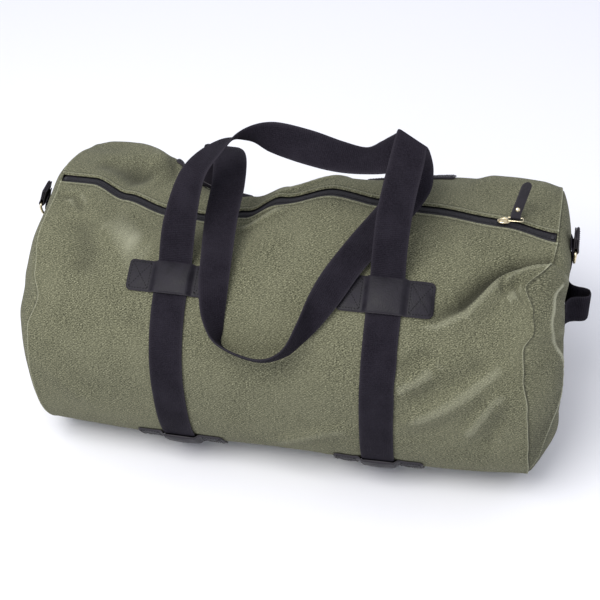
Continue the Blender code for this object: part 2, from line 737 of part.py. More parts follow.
CANVAS_FINISH = ((0.181, 0.184, 0.138), 0.95, 0.0)
BINDING_FINISH = ((0.025, 0.024, 0.030), 0.90, 0.0)
WEBBING_FINISH = ((0.024, 0.021, 0.028), 0.80, 0.0)
LEATHER_FINISH = ((0.050, 0.047, 0.060), 0.45, 0.0)
TAPE_FINISH = ((0.018, 0.016, 0.022), 0.85, 0.0)
COIL_FINISH = ((0.020, 0.018, 0.024), 0.50, 0.0)
BRASS_FINISH = ((0.78, 0.68, 0.45), 0.25, 1.0)


def main():
    for existing in list(bpy.data.objects):
        bpy.data.objects.remove(existing)
    make_main_panel()
    make_zip()
    make_slider()
    make_pull()
    make_keepers()
    make_handles()
    for name, side in (("left", -1), ("right", 1)):
        make_end_panel("end_panel_" + name, side)
        make_seam_binding("seam_binding_" + name, side)
        make_band("webbing_band_" + name, side * BAND_X)
        make_end_strip("end_strip_" + name, side)
        make_ring_tab("ring_tab_" + name, side)
        make_ring("d_ring_" + name, side)
        make_grab_handle("grab_handle_" + name, side)


main()
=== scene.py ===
"""The looks of a slack canvas duffel bag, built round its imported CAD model.

Metres, +Z up, in the row frame. The canvas is one surface, worked out from the CAD's
oval section and then given the slack bag's dents and folds. Everything sewn on the bag
is laid on that surface.
"""

import json
import math

import bpy
import numpy as np
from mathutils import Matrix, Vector, noise


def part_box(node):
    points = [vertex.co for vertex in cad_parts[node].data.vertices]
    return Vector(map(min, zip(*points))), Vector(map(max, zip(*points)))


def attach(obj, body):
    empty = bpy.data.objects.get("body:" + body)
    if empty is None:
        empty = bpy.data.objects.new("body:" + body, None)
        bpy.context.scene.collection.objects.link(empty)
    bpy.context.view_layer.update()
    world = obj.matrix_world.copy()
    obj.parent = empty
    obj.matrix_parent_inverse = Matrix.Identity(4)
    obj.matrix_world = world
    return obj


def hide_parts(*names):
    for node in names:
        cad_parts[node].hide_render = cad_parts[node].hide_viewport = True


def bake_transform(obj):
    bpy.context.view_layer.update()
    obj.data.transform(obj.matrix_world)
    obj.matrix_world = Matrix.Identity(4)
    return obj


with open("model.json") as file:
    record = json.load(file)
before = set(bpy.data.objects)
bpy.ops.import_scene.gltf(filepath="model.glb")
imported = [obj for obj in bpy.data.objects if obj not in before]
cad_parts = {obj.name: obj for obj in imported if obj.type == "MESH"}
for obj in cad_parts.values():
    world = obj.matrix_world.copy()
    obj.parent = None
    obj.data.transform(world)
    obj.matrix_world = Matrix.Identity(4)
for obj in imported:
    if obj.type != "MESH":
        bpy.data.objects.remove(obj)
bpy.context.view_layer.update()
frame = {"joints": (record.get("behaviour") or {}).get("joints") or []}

# ---- sizes from the frame

panel_low, panel_high = (np.array(corner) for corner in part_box("main_panel"))
MIDDLE_Y = (panel_low[1] + panel_high[1]) / 2
HALF_LENGTH = panel_high[0]
HALF_WIDTH = (panel_high[1] - panel_low[1]) / 2
TOP_Z = panel_high[2]
BOTTOM_Z = panel_low[2]
END_NARROWING = 0.008
WIDEST_Z = 0.145
SUNK_Z = -0.010
BOTTOM_EDGE = 0.004          # how softly the flat bottom turns up
UPPER_POWER = 2.15
LOWER_POWER = 2.7
CANVAS = 0.0016
END_BULGE = -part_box("end_panel_left")[0][0] - HALF_LENGTH - CANVAS

ZIP_Y = 0.008
ZIP_SLOPE = -0.025
SLOT_HALF = 0.0075

BAND_X = 0.118
WEBBING_WIDTH = 0.038
WEBBING = 0.0026
LEATHER = 0.0018
KEEPER_LENGTH = 0.104
KEEPER_HEIGHT = 0.040
UPPER_KEEPER_Y = 0.094
LOWER_KEEPER_ANGLE = math.radians(116)
SEWN_GAP = 0.0011            # from the canvas to what is sewn on it

FULL_TURN = 2 * math.pi
SIDES = (("left", -1), ("right", 1))
JOINTS = {joint["name"]: joint for joint in frame["joints"]}


def joint_place(name):
    """A hinge's place in the bag's own frame."""
    return np.array(JOINTS[name]["pos_m"]) - (0, MIDDLE_Y, 0)


# ---- camera and light

CAMERA_AZIMUTH = math.radians(13.5)
CAMERA_ELEVATION = math.radians(42)
CAMERA_ROLL = math.radians(-3.3)
CAMERA_DISTANCE = 1.5
CAMERA_VIEW = math.radians(27.4)
CAMERA_TARGET = Vector((-0.003, MIDDLE_Y, 0.137))
KEY_PLACE = Vector((-0.40, -0.95, 1.85))
KEY_AIM = Vector((0, 0, 0.1))
FLOOR_REACH = 6.0


def add_object(name, data, place=(0, 0, 0), facing=None):
    """Adds an object, its -Z axis pointing away from the way it is facing."""
    made = bpy.data.objects.new(name, data)
    made.location = place
    if facing:
        made.rotation_euler = facing.to_track_quat("Z", "Y").to_euler()
    bpy.context.scene.collection.objects.link(made)
    return made


def add_camera():
    level = math.cos(CAMERA_ELEVATION)
    back = Vector((math.sin(CAMERA_AZIMUTH) * level, -math.cos(CAMERA_AZIMUTH) * level,
                   math.sin(CAMERA_ELEVATION)))
    data = bpy.data.cameras.new("camera")
    data.angle = CAMERA_VIEW
    camera = add_object("camera", data, CAMERA_TARGET + CAMERA_DISTANCE * back, back)
    camera.rotation_euler.rotate_axis("Z", CAMERA_ROLL)
    bpy.context.scene.camera = camera


def add_studio():
    mesh = bpy.data.meshes.new("floor")
    corners = [(x * FLOOR_REACH, y * FLOOR_REACH, 0)
               for x, y in ((-1, -1), (1, -1), (1, 1), (-1, 1))]
    mesh.from_pydata(corners, [], [(0, 1, 2, 3)])
    mesh.materials.append(Nodes("floor", (0.87, 0.87, 0.90), 0.9, specular=0.1).finish())
    add_object("floor", mesh)

    world = bpy.data.worlds.new("studio")
    world.use_nodes = True
    background = world.node_tree.nodes["Background"]
    background.inputs["Color"].default_value = (0.90, 0.92, 1.0, 1)
    background.inputs["Strength"].default_value = 0.88
    bpy.context.scene.world = world
    data = bpy.data.lights.new("key", "AREA")
    data.size = 1.1
    data.energy = 32
    data.color = (1.0, 0.99, 0.96)
    add_object("key", data, KEY_PLACE, KEY_PLACE - KEY_AIM)
    bpy.context.scene.view_settings.view_transform = "Standard"


# ---- arithmetic

def unit(vectors):
    return vectors / np.linalg.norm(vectors, axis=-1, keepdims=True)


def hump(value, place, width, power=2):
    """1 where a value is at a place, and 0 far from it."""
    return np.exp(-((value - place) / width) ** power)


def ramp(value, low, high):
    """0 up to low, 1 from high on, and straight between them."""
    return np.clip((value - low) / (high - low), 0, 1)


def eased(share):
    return share * share * (3 - 2 * share)


def runs(points):
    """How far along a line of points each of them lies."""
    return np.concatenate([[0], np.cumsum(np.linalg.norm(np.diff(points, axis=0), axis=1))])


def at_runs(places, run, values):
    return np.stack([np.interp(places, run, values[:, axis]) for axis in range(3)], axis=1)


def between(field, rows, columns):
    """A grid's values at places that are given in rows and columns."""
    row = np.minimum(rows.astype(int), field.shape[0] - 2)
    column = np.minimum(columns.astype(int), field.shape[1] - 2)
    u, v = (rows - row)[..., None], (columns - column)[..., None]
    return ((field[row, column] * (1 - u) + field[row + 1, column] * u) * (1 - v)
            + (field[row, column + 1] * (1 - u) + field[row + 1, column + 1] * u) * v)


def smoothed(points, times):
    for _ in range(times):
        points = points.copy()
        points[1:-1] = 0.25 * points[:-2] + 0.5 * points[1:-1] + 0.25 * points[2:]
    return points


def smooth_curve(points, samples):
    """Evenly spaced points on a Catmull-Rom curve through the given ones."""
    points = np.asarray(points, float)
    ends = np.concatenate([[2 * points[0] - points[1]], points, [2 * points[-1] - points[-2]]])
    place = np.linspace(0, len(points) - 1, 40 * len(points))
    span = np.minimum(place.astype(int), len(points) - 2)
    t = (place - span).reshape((-1,) + (1,) * (points.ndim - 1))
    a, b, c, d = (ends[span + step] for step in range(4))
    curve = 0.5 * (2 * b + (c - a) * t + (2 * a - 5 * b + 4 * c - d) * t * t
                   + (3 * b - a - 3 * c + d) * t ** 3)
    steps = np.linalg.norm(np.diff(curve, axis=0), axis=-1)
    run = np.concatenate([[0], np.cumsum(steps.reshape(len(steps), -1).mean(axis=1))])
    places = np.interp(np.linspace(0, run[-1], samples), run, np.arange(len(run)))
    low = np.minimum(places.astype(int), len(run) - 2)
    share = (places - low).reshape((-1,) + (1,) * (points.ndim - 1))
    return curve[low] * (1 - share) + curve[low + 1] * share


def smooth_steps(value, places, heights):
    """Interpolates through (place, height) pairs, level at each pair."""
    value = np.asarray(value, float)
    places, heights = np.array(places, float), np.array(heights, float)
    index = np.clip(np.searchsorted(places, value) - 1, 0, len(places) - 2)
    share = eased(ramp(value, places[index], places[index + 1]))
    return heights[index] + (heights[index + 1] - heights[index]) * share


def follow(points, line, normals=None):
    """Gaps to a line, shares of its length there, and offsets to its right if asked."""
    line = np.array(line)
    run = runs(line)
    nearest = np.full(points.shape[:-1], 9.0)
    place = np.zeros(nearest.shape)
    side = np.zeros(nearest.shape)
    for index in range(len(line) - 1):
        length = run[index + 1] - run[index]
        along = (line[index + 1] - line[index]) / length
        offset = points - line[index]
        step = np.clip(offset @ along, 0, length)
        gap = np.linalg.norm(offset - step[..., None] * along, axis=-1)
        closer = gap < nearest
        nearest = np.where(closer, gap, nearest)
        place = np.where(closer, (run[index] + step) / run[-1], place)
        if normals is not None:
            right = (offset * np.cross(along, normals)).sum(axis=-1)
            side = np.where(closer, right, side)
    return nearest, place, side


def ripple(points, size, seed):
    """Smooth noise, about -1 to 1, at each point."""
    flat = points.reshape(-1, 3) / size + seed
    return np.array([noise.noise(Vector(place)) for place in flat]).reshape(points.shape[:-1])


# ---- the bag's shape

# Folds in the canvas: the points that a crest or a valley runs through, its half width
# and its height, which is negative for a valley.
FOLDS = [
    # the long fold's pinch at the seam
    (((0.276, -0.078, 0.272), (0.258, -0.086, 0.269), (0.246, -0.095, 0.265)), 0.006, -0.007),
    (((0.272, -0.094, 0.265), (0.252, -0.100, 0.262)), 0.007, 0.004),
    # folds that run from the right seam down and across the lower front
    (((0.268, -0.155, 0.220), (0.237, -0.167, 0.202), (0.200, -0.176, 0.172),
      (0.172, -0.179, 0.150), (0.139, -0.179, 0.126)), 0.013, 0.006),
    (((0.250, -0.152, 0.224), (0.216, -0.164, 0.207), (0.180, -0.174, 0.183),
      (0.150, -0.178, 0.163)), 0.014, -0.005),
    (((0.270, -0.171, 0.193), (0.246, -0.176, 0.178), (0.232, -0.179, 0.153),
      (0.212, -0.179, 0.115)), 0.010, 0.005),
    (((0.262, -0.174, 0.165), (0.246, -0.179, 0.135), (0.238, -0.178, 0.100)), 0.010, -0.004),
    (((0.130, -0.176, 0.177), (0.158, -0.172, 0.191), (0.180, -0.163, 0.208)), 0.009, 0.004),
    (((0.134, -0.167, 0.201), (0.155, -0.160, 0.214), (0.175, -0.150, 0.226)), 0.010, -0.004),
    (((0.252, -0.180, 0.142), (0.266, -0.178, 0.108)), 0.005, -0.003),
    # a low crest along the front's foot
    (((-0.010, -0.165, 0.066), (0.029, -0.174, 0.087), (0.060, -0.178, 0.104),
      (0.098, -0.179, 0.118)), 0.012, 0.004),
    # the left end
    (((-0.274, -0.178, 0.163), (-0.252, -0.180, 0.142), (-0.232, -0.178, 0.117),
      (-0.210, -0.175, 0.095)), 0.014, 0.003),
    (((-0.170, -0.152, 0.225), (-0.150, -0.156, 0.220), (-0.137, -0.161, 0.212)), 0.012, -0.003),
    (((-0.250, -0.040, 0.281), (-0.236, -0.078, 0.272), (-0.233, -0.100, 0.263),
      (-0.229, -0.125, 0.250)), 0.018, -0.006),
    (((-0.226, -0.050, 0.278), (-0.191, -0.064, 0.275), (-0.160, -0.071, 0.274)), 0.022, 0.004),
    (((-0.279, -0.021, 0.282), (-0.262, -0.017, 0.282), (-0.246, -0.040, 0.280)), 0.005, -0.003),
    # the pointed peak behind the zip on the left, and its edge towards the dent
    (((-0.310, 0.150, 0.226), (-0.236, 0.140, 0.236), (-0.208, 0.122, 0.251),
      (-0.186, 0.098, 0.264), (-0.156, 0.076, 0.271)), 0.026, 0.016),
    (((-0.262, 0.070, 0.274), (-0.222, 0.066, 0.275), (-0.185, 0.052, 0.278)), 0.024, -0.010),
    (((-0.178, 0.122, 0.250), (-0.160, 0.090, 0.267), (-0.142, 0.058, 0.277),
      (-0.128, 0.036, 0.281)), 0.009, 0.008),
    # the top's right corner at the rear
    (((0.190, 0.105, 0.261), (0.240, 0.100, 0.263), (0.286, 0.090, 0.267)), 0.040, 0.009),
    # the foot of the front at the left
    (((-0.286, -0.155, 0.050), (-0.200, -0.158, 0.045), (-0.090, -0.158, 0.045)), 0.040, 0.001),
    # and at the right
    (((0.030, -0.160, 0.045), (0.140, -0.160, 0.045), (0.230, -0.158, 0.045),
      (0.286, -0.155, 0.050)), 0.040, 0.003),
    # the middle of the top
    (((-0.040, 0.020, 0.282), (-0.004, 0.036, 0.281), (0.030, 0.050, 0.279),
      (0.044, 0.079, 0.272), (0.052, 0.106, 0.260)), 0.007, 0.004),
    (((-0.064, -0.026, 0.282), (-0.031, -0.020, 0.282), (-0.012, -0.008, 0.283)), 0.006, 0.004),
    (((-0.060, -0.015, 0.283), (-0.035, -0.008, 0.283), (-0.015, 0.001, 0.283)), 0.005, -0.003),
]

# Overlapping folds: the crest's points, how deep and how wide the hollow on the right of
# their direction is, and how far the crest stands up.
CREASES = [
    # the long fold from the right end seam down and across the front
    (((0.290, -0.050, 0.279), (0.259, -0.067, 0.275), (0.227, -0.097, 0.264),
      (0.205, -0.119, 0.253), (0.175, -0.133, 0.243), (0.145, -0.138, 0.240)),
     0.027, 0.021, 0.008),
    # the pinch where it leaves the seam
    (((0.270, -0.062, 0.276), (0.257, -0.080, 0.271), (0.250, -0.096, 0.265)),
     0.010, 0.008, 0.003),
]
STEP = 0.0050                # how quickly a crest drops into its hollow
CREST_HALF_WIDTH = 0.012

# How far the zip's line drifts to the front (and down) along the bag, by x
DRIFT_X = (-0.286, -0.247, -0.205, -0.150, -0.100, -0.060, -0.020, 0.040, 0.095, 0.150,
           0.233, 0.286)
DRIFT = (0.0, 0.0, -0.024, -0.046, -0.050, -0.034, 0.000, 0.026, 0.015, 0.010, 0.0, -0.016)
DRIFT_SIDEWAYS = 0.45
DRIFT_DOWN = 0.41
DRIFT_REACH = 0.080

REAR_DENT_X = -0.065
REAR_DENT_RIGHT = 0.125      # its reach towards +X
REAR_DENT_LEFT = 0.094       # its reach towards -X
REAR_DENT_ANGLE = math.radians(-51)
REAR_DENT_SPREAD = math.radians(46)
REAR_DENT = np.array((0.0, -0.047, -0.051))

# How far the end seams are pulled along the bag (+ is towards +X), by angle in degrees
LEFT_SEAM = ((-180, 0), (-90, 0), (-45, -0.007), (-15, -0.007), (8, 0.002), (25, 0),
             (42, 0.006), (53, 0.014), (68, 0.003), (100, -0.002), (180, 0))
RIGHT_SEAM = ((-180, 0), (-90, 0.004), (-30, 0.010), (0, 0.008), (15, 0.003), (27, -0.022),
              (38, -0.012), (46, -0.009), (54, -0.018), (66, -0.015), (82, -0.007),
              (100, -0.001), (115, 0.002), (180, 0))
SEAM_REACH = 0.100


def half_width(x):
    return HALF_WIDTH - END_NARROWING * np.minimum(1.0, np.abs(x) / HALF_LENGTH) ** 3


def zip_line(x):
    return ZIP_Y + ZIP_SLOPE * x


def base_point(x, angle):
    """Points of the plain oval, by place along the bag and angle from its top."""
    x, angle = np.broadcast_arrays(np.asarray(x, float), np.asarray(angle, float))
    sine, cosine = np.sin(angle), np.cos(angle)
    upper = cosine >= 0
    power = np.where(upper, UPPER_POWER, LOWER_POWER)
    height = np.where(upper, TOP_Z - WIDEST_Z, WIDEST_Z - SUNK_Z)
    y = -np.sign(sine) * half_width(x) * np.abs(sine) ** (2 / power)
    z = WIDEST_Z + np.sign(cosine) * height * np.abs(cosine) ** (2 / power)
    rise = (z - BOTTOM_Z) / BOTTOM_EDGE
    z = BOTTOM_Z + BOTTOM_EDGE * (np.logaddexp(0, rise) - math.log(2) / (1 + np.exp(rise)))
    return np.stack([x, y, np.maximum(z, BOTTOM_Z)], axis=-1)


def base_normal(x, angle):
    step = 0.01
    along = base_point(x, angle + step) - base_point(x, angle - step)
    return unit(np.stack([np.zeros_like(along[..., 0]), along[..., 2], -along[..., 1]],
                         axis=-1))


def angle_at_y(x, y):
    """The angle where the upper oval has this y."""
    share = np.minimum(1.0, np.abs(y) / half_width(x)) ** (UPPER_POWER / 2)
    return -np.sign(y) * np.arcsin(share)


def signed_turn(angle):
    return (angle + math.pi) % FULL_TURN - math.pi


def fold_height(points):
    """The sum of the folds' heights over points of the plain oval."""
    total = np.zeros(points.shape[:-1])
    for crest, width, height in FOLDS:
        gap, place, _ = follow(points, crest)
        taper = eased(np.clip(np.minimum(place, 1 - place) / 0.25, 0, 1))
        total += height * (0.25 + 0.75 * taper) * hump(gap, 0, width)
    return total


def crease_height(points, normals):
    """The sum of the overlapping folds' heights over points of the plain oval."""
    total = np.zeros(points.shape[:-1])
    for crest, drop, reach, rise in CREASES:
        gap, place, side = follow(points, crest, normals)
        into = np.where(side > 0, gap, 0)
        hollow = (1 - hump(into, 0, STEP)) * np.exp(-(into / reach) ** 1.5)
        taper = eased(np.clip((1 - place) / 0.45, 0, 1))
        total += taper * (rise * hump(gap, 0, CREST_HALF_WIDTH) - drop * hollow)
    return total


def band_hold(x):
    """1 away from the webbing bands and less under them, where the canvas lies flatter."""
    return 1 - 0.75 * hump(np.abs(x), BAND_X, 0.024, 4)


def seam_pull(x, angle):
    degrees = np.degrees(signed_turn(angle))
    left = smooth_steps(degrees, *zip(*LEFT_SEAM))
    right = smooth_steps(degrees, *zip(*RIGHT_SEAM))
    reach = ramp(np.abs(x), HALF_LENGTH - SEAM_REACH, HALF_LENGTH)
    return np.where(x < 0, left, right) * reach ** 1.6


def canvas_shape(x, angle):
    """Points of the slack bag's canvas, in the bag's own frame."""
    x, angle = np.broadcast_arrays(np.asarray(x, float), np.asarray(angle, float))
    points = base_point(x, angle)
    normals = base_normal(x, angle)
    low = ramp(points[..., 2], BOTTOM_Z, BOTTOM_Z + 0.03)
    height = (fold_height(points) + crease_height(points, normals)) * band_hold(x) * low
    shaped = points + height[..., None] * normals
    near = np.where(np.cos(angle) > 0, hump(points[..., 1], zip_line(x), DRIFT_REACH), 0)
    drift = smooth_steps(x, DRIFT_X, DRIFT) * near
    shaped[..., 1] += DRIFT_SIDEWAYS * drift
    shaped[..., 2] += DRIFT_DOWN * drift
    turn = np.abs(signed_turn(angle) - REAR_DENT_ANGLE)
    window = np.sin(np.clip(1 - turn / REAR_DENT_SPREAD, 0, 1) * math.pi / 2) ** 2
    length = np.where(x < REAR_DENT_X, REAR_DENT_LEFT, REAR_DENT_RIGHT)
    shaped += (window * hump(x, REAR_DENT_X, length))[..., None] * REAR_DENT
    shaped[..., 0] += seam_pull(x, angle)
    return shaped


# ---- the canvas's grid

ZIP_EDGE_FINE = 0.012        # the stretch beside the zip that has finer rows
SEAM_FINE = 0.010            # and beside each end seam

ARC_ANGLES = np.linspace(0, FULL_TURN, 2881)
ARCS = runs(base_point(0.0, ARC_ANGLES))
ARC_LENGTH = ARCS[-1]


def fine_ended(low, high, fine, fine_count, count):
    """Even steps from low to high, with shorter ones over a fine stretch at each end."""
    short = np.linspace(0, fine, fine_count)[:-1]
    even = np.linspace(low + fine, high - fine, count)
    return np.concatenate([low + short, even, high - short[::-1]])


def slot_arcs(side):
    """How far round the oval from its top each place's edge of the zip's slot lies."""
    angles = angle_at_y(PLACES, zip_line(PLACES) + side * SLOT_HALF) % FULL_TURN
    return np.interp(angles, ARC_ANGLES, ARCS)


PLACES = fine_ended(-HALF_LENGTH, HALF_LENGTH, SEAM_FINE, 7, 211)
SHARES = fine_ended(0, 1, ZIP_EDGE_FINE / ARC_LENGTH, 10, 341)
FRONT_ARC = slot_arcs(-1)
FRONT_ARC -= np.where(FRONT_ARC > ARC_LENGTH / 2, ARC_LENGTH, 0)
REAR_ARC = slot_arcs(1)
REAR_ARC += np.where(REAR_ARC < ARC_LENGTH / 2, ARC_LENGTH, 0)
GRID_ARCS = FRONT_ARC[:, None] + (REAR_ARC - FRONT_ARC)[:, None] * SHARES
TO_ZIP = np.minimum(GRID_ARCS - FRONT_ARC[:, None], REAR_ARC[:, None] - GRID_ARCS)
TO_SEAM = (HALF_LENGTH - np.abs(PLACES))[:, None]


def arcs_to_angles(arcs):
    return np.interp(arcs % ARC_LENGTH, ARCS, ARC_ANGLES)


def grid_normals(grid):
    normals = unit(np.cross(np.gradient(grid, axis=0), np.gradient(grid, axis=1)))
    outward = ((grid - grid.mean(axis=(0, 1))) * normals).sum()
    return normals * np.sign(outward)


def make_canvas_grid():
    grid = canvas_shape(PLACES[:, None], arcs_to_angles(GRID_ARCS))
    height = 0.0004 * hump(TO_ZIP, 0.0030, 0.0016)
    height -= 0.0016 * np.clip(1 - TO_ZIP / 0.0014, 0, 1) ** 2
    height -= 0.0003 * hump(TO_ZIP, 0.0058, 0.0009)
    height += 0.0005 * hump(TO_SEAM, 0.0006, 0.0014)
    height += 0.0008 * ripple(grid, 0.070, 3.0) + 0.0002 * ripple(grid, 0.024, 11.0)
    return grid + height[..., None] * grid_normals(grid)


def sample(field, x, angle):
    """A grid's value at places along the bag and angles from its top."""
    x, angle = np.broadcast_arrays(np.asarray(x, float), np.asarray(angle, float))
    arcs = np.interp(angle % FULL_TURN, ARC_ANGLES, ARCS)
    first, last = np.interp(x, PLACES, FRONT_ARC), np.interp(x, PLACES, REAR_ARC)
    slot = ARC_LENGTH - (last - first)
    arcs = np.where(arcs > last + slot / 2, arcs - ARC_LENGTH, arcs)
    arcs = np.where(arcs < first - slot / 2, arcs + ARC_LENGTH, arcs)
    shares = np.clip((arcs - first) / (last - first), 0, 1)
    return between(field, np.interp(x, PLACES, np.arange(len(PLACES))),
                   np.interp(shares, SHARES, np.arange(len(SHARES))))


def on_canvas(x, angle, lift):
    """Points that stand off the finished canvas by lift."""
    normals = unit(sample(CANVAS_NORMALS, x, angle))
    return sample(CANVAS_GRID, x, angle) + np.asarray(lift)[..., None] * normals


def angle_after(angle, distance):
    """The angle that lies a distance further round the plain oval."""
    return arcs_to_angles(np.interp(angle % FULL_TURN, ARC_ANGLES, ARCS) + distance)


CANVAS_GRID = make_canvas_grid()
CANVAS_NORMALS = grid_normals(CANVAS_GRID)


# ---- mesh helpers

def add_piece(name, points, faces, paint, body="bag", uv=None, wear_and_painted_light=None, smooth=40):
    """Adds a mesh given in the bag's own frame, and makes it ride on a body."""
    mesh = bpy.data.meshes.new(name)
    points = np.asarray(points, float).reshape(-1, 3) + (0, MIDDLE_Y, 0)
    mesh.from_pydata(points.tolist(), [], [tuple(face) for face in faces])
    mesh.update()
    if uv is not None:
        layer = mesh.uv_layers.new(name="cloth")
        index = np.empty(len(mesh.loops), int)
        mesh.loops.foreach_get("vertex_index", index)
        layer.data.foreach_set("uv", np.asarray(uv, float).reshape(-1, 2)[index].ravel())
    if wear_and_painted_light is not None:
        attribute = mesh.attributes.new("wear_and_painted_light", "FLOAT", "POINT")
        attribute.data.foreach_set("value", np.asarray(wear_and_painted_light, np.float32).ravel())
    mesh.materials.append(paint)
    mesh.shade_smooth()
    mesh.set_sharp_from_angle(angle=math.radians(smooth))
    piece = add_object(name, mesh)
    if body:
        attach(piece, body)
    return piece


def stands_for(piece, node=None):
    """Hides the CAD node that a piece replaces, if any."""
    if node:
        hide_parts(node)


def grid_faces(rows, columns, first=0, wrap=False, flip=False):
    """Quads of a grid of points, optionally closed across its columns."""
    faces = []
    for row in range(rows - 1):
        for column in range(columns if wrap else columns - 1):
            near = first + row * columns
            far = near + columns
            following = (column + 1) % columns
            square = (near + column, near + following, far + following, far + column)
            faces.append(square[::-1] if flip else square)
    return faces


def closed_rings(rows, columns, flip=False):
    """Quads round a stack of rings, with a face over each end."""
    ends = [tuple(range(columns))[::-1], tuple(range((rows - 1) * columns, rows * columns))]
    return grid_faces(rows, columns, 0, True, flip) + [
        end[::-1] if flip else end for end in ends]


def rim_faces(rows, columns, below, wrap=False):
    """Quads that close the edges between two grids of the same size."""
    last = (rows - 1) * columns
    head = list(range(columns))
    foot = list(range(last, last + columns))
    if wrap:
        lines = [foot + foot[:1], (head + head[:1])[::-1]]
    else:
        lines = [foot, head[::-1], list(range(0, last + 1, columns)),
                 list(range(columns - 1, last + columns, columns))[::-1]]
    return [(near, far, below + far, below + near)
            for line in lines for near, far in zip(line[:-1], line[1:])]


def solid_sheet(name, outer, inner, paint, uv=None, wear_and_painted_light=None, wrap=False):
    """A closed sheet between two grids of points."""
    rows, columns = outer.shape[:2]
    below = rows * columns
    faces = grid_faces(rows, columns, 0, wrap)
    faces += grid_faces(rows, columns, below, wrap, True)
    faces += rim_faces(rows, columns, below, wrap)
    points = np.concatenate([outer.reshape(-1, 3), inner.reshape(-1, 3)])
    if uv is not None:
        uv = np.concatenate([uv.reshape(-1, 2)] * 2)
    if wear_and_painted_light is not None:
        wear_and_painted_light = np.concatenate([wear_and_painted_light.ravel()] * 2)
    tested = faces[len(faces) // 7]
    a, b, c = (points[corner] for corner in tested[:3])
    outward = (outer - inner).reshape(-1, 3)[tested[0] % below]
    if np.cross(b - a, c - a) @ outward < 0:
        faces = [face[::-1] for face in faces]
    return add_piece(name, points, faces, paint, uv=uv, wear_and_painted_light=wear_and_painted_light)


def strap(name, edges, thickness, paint, body="bag", across=12):
    """Webbing or leather between two edge lines, an array of (sample, edge, xyz)."""
    left, right = edges[:, 0], edges[:, 1]
    centre = (left + right) / 2
    normals = unit(np.cross(np.gradient(centre, axis=0), right - left))[:, None]
    shares = 0.5 - 0.5 * np.cos(np.linspace(0, math.pi, across + 1))
    shares = 0.35 * shares + 0.65 * np.linspace(0, 1, across + 1)
    half = thickness / 2 * (1 - np.abs(2 * shares - 1) ** 14) ** 0.5
    half = np.maximum(half, thickness * 0.12)[None, :, None]
    middle = left[:, None] + (right - left)[:, None] * shares[None, :, None]
    ring = np.concatenate([middle + normals * half, (middle - normals * half)[:, ::-1]], axis=1)
    shares = np.concatenate([shares, shares[::-1]])
    u = shares * np.linalg.norm(right - left, axis=1).mean()
    uv = np.stack(np.broadcast_arrays(u[None, :], runs(centre)[:, None]), axis=-1)
    # Paler towards both edges: wear on webbing, painted highlight on leather.
    wear_and_painted_light = np.broadcast_to(np.abs(2 * shares - 1) ** 10, ring.shape[:2])
    return add_piece(name, ring, closed_rings(*ring.shape[:2], True), paint, body, uv, wear_and_painted_light)


def tube(name, centres, radius, paint, body, sides):
    """A closed loop of round wire through centres that lie in one plane."""
    centres = np.asarray(centres, float)
    count = len(centres)
    along = np.roll(centres, -1, axis=0) - np.roll(centres, 1, axis=0)
    middle = centres.mean(axis=0)
    plane = unit(np.cross(centres[0] - middle, centres[count // 4] - middle))
    across = unit(np.cross(unit(along), plane))
    turns = np.linspace(0, FULL_TURN, sides, endpoint=False)[None, :, None]
    ring = centres[:, None] + radius * (np.cos(turns) * across[:, None]
                                        + np.sin(turns) * plane)
    faces = [tuple(corner % (count * sides) for corner in face)
             for face in grid_faces(count + 1, sides, 0, True)]
    return add_piece(name, ring, faces, paint, body)


def lathe(name, profile, centre, axis, paint, body, sides=28, stretch=1.0, across=None):
    """A solid turned from (radius, distance) pairs, stretched across its axis."""
    axis = unit(np.array(axis, float))
    if across is None:
        across = np.array(Vector(axis).orthogonal().normalized())
    turns = np.linspace(0, FULL_TURN, sides, endpoint=False)[:, None]
    spokes = np.cos(turns) * across + stretch * np.sin(turns) * np.cross(axis, across)
    rows = [np.asarray(centre) + distance * axis + radius * spokes
            for radius, distance in profile]
    return add_piece(name, np.concatenate(rows), closed_rings(len(rows), sides), paint, body,
                     smooth=50)


# A stitch's pitch, length and radius on the zip, the keepers and the ring tabs
ZIP_STITCH = (0.0036, 0.0024, 0.00036)
KEEPER_STITCH = (0.0031, 0.0022, 0.00036)
TAB_STITCH = (0.0029, 0.0020, 0.00034)
STITCH_SIDES = 6
# A stitch's rings: place along it, size, and rise in radii
STITCH_RINGS = ((0.0, 0.35, -0.6), (0.14, 0.85, 0.1), (0.5, 1.0, 0.3), (0.86, 0.85, 0.1),
                (1.0, 0.35, -0.6))


def add_stitches(name, starts, ends, normals, radius, paint):
    """Short rounded lengths of thread, all in one mesh."""
    across = unit(np.cross(normals, ends - starts))
    points = []
    for share, size, rise in STITCH_RINGS:
        centre = starts + share * (ends - starts) + rise * radius * normals
        for turn in np.linspace(0, FULL_TURN, STITCH_SIDES, endpoint=False):
            points.append(centre + size * radius * (
                math.cos(turn) * across * 1.15 + math.sin(turn) * normals * 0.8))
    template = closed_rings(len(STITCH_RINGS), STITCH_SIDES)
    faces = [tuple(corner + len(points) * stitch for corner in face)
             for stitch in range(len(starts)) for face in template]
    return add_piece(name, np.stack(points, axis=1), faces, paint)


def stitch_line(points, normals, pitch, length):
    """Starts, ends and normals of stitches spaced along a line of points."""
    run = runs(points)
    count = max(1, int(run[-1] / pitch))
    starts = (np.arange(count) + 0.5) * run[-1] / count - length / 2
    return (at_runs(starts, run, points), at_runs(starts + length, run, points),
            at_runs(starts + length / 2, run, normals))


def add_stitch_lines(name, lines, stitch, paint):
    """Stitches along several lines, each a pair of points and normals."""
    pitch, length, radius = stitch
    parts = zip(*(stitch_line(*line, pitch, length) for line in lines))
    starts, ends, normals = (np.concatenate(part) for part in parts)
    stands_for(add_stitches(name, starts, ends, normals, radius, paint))


# ---- materials

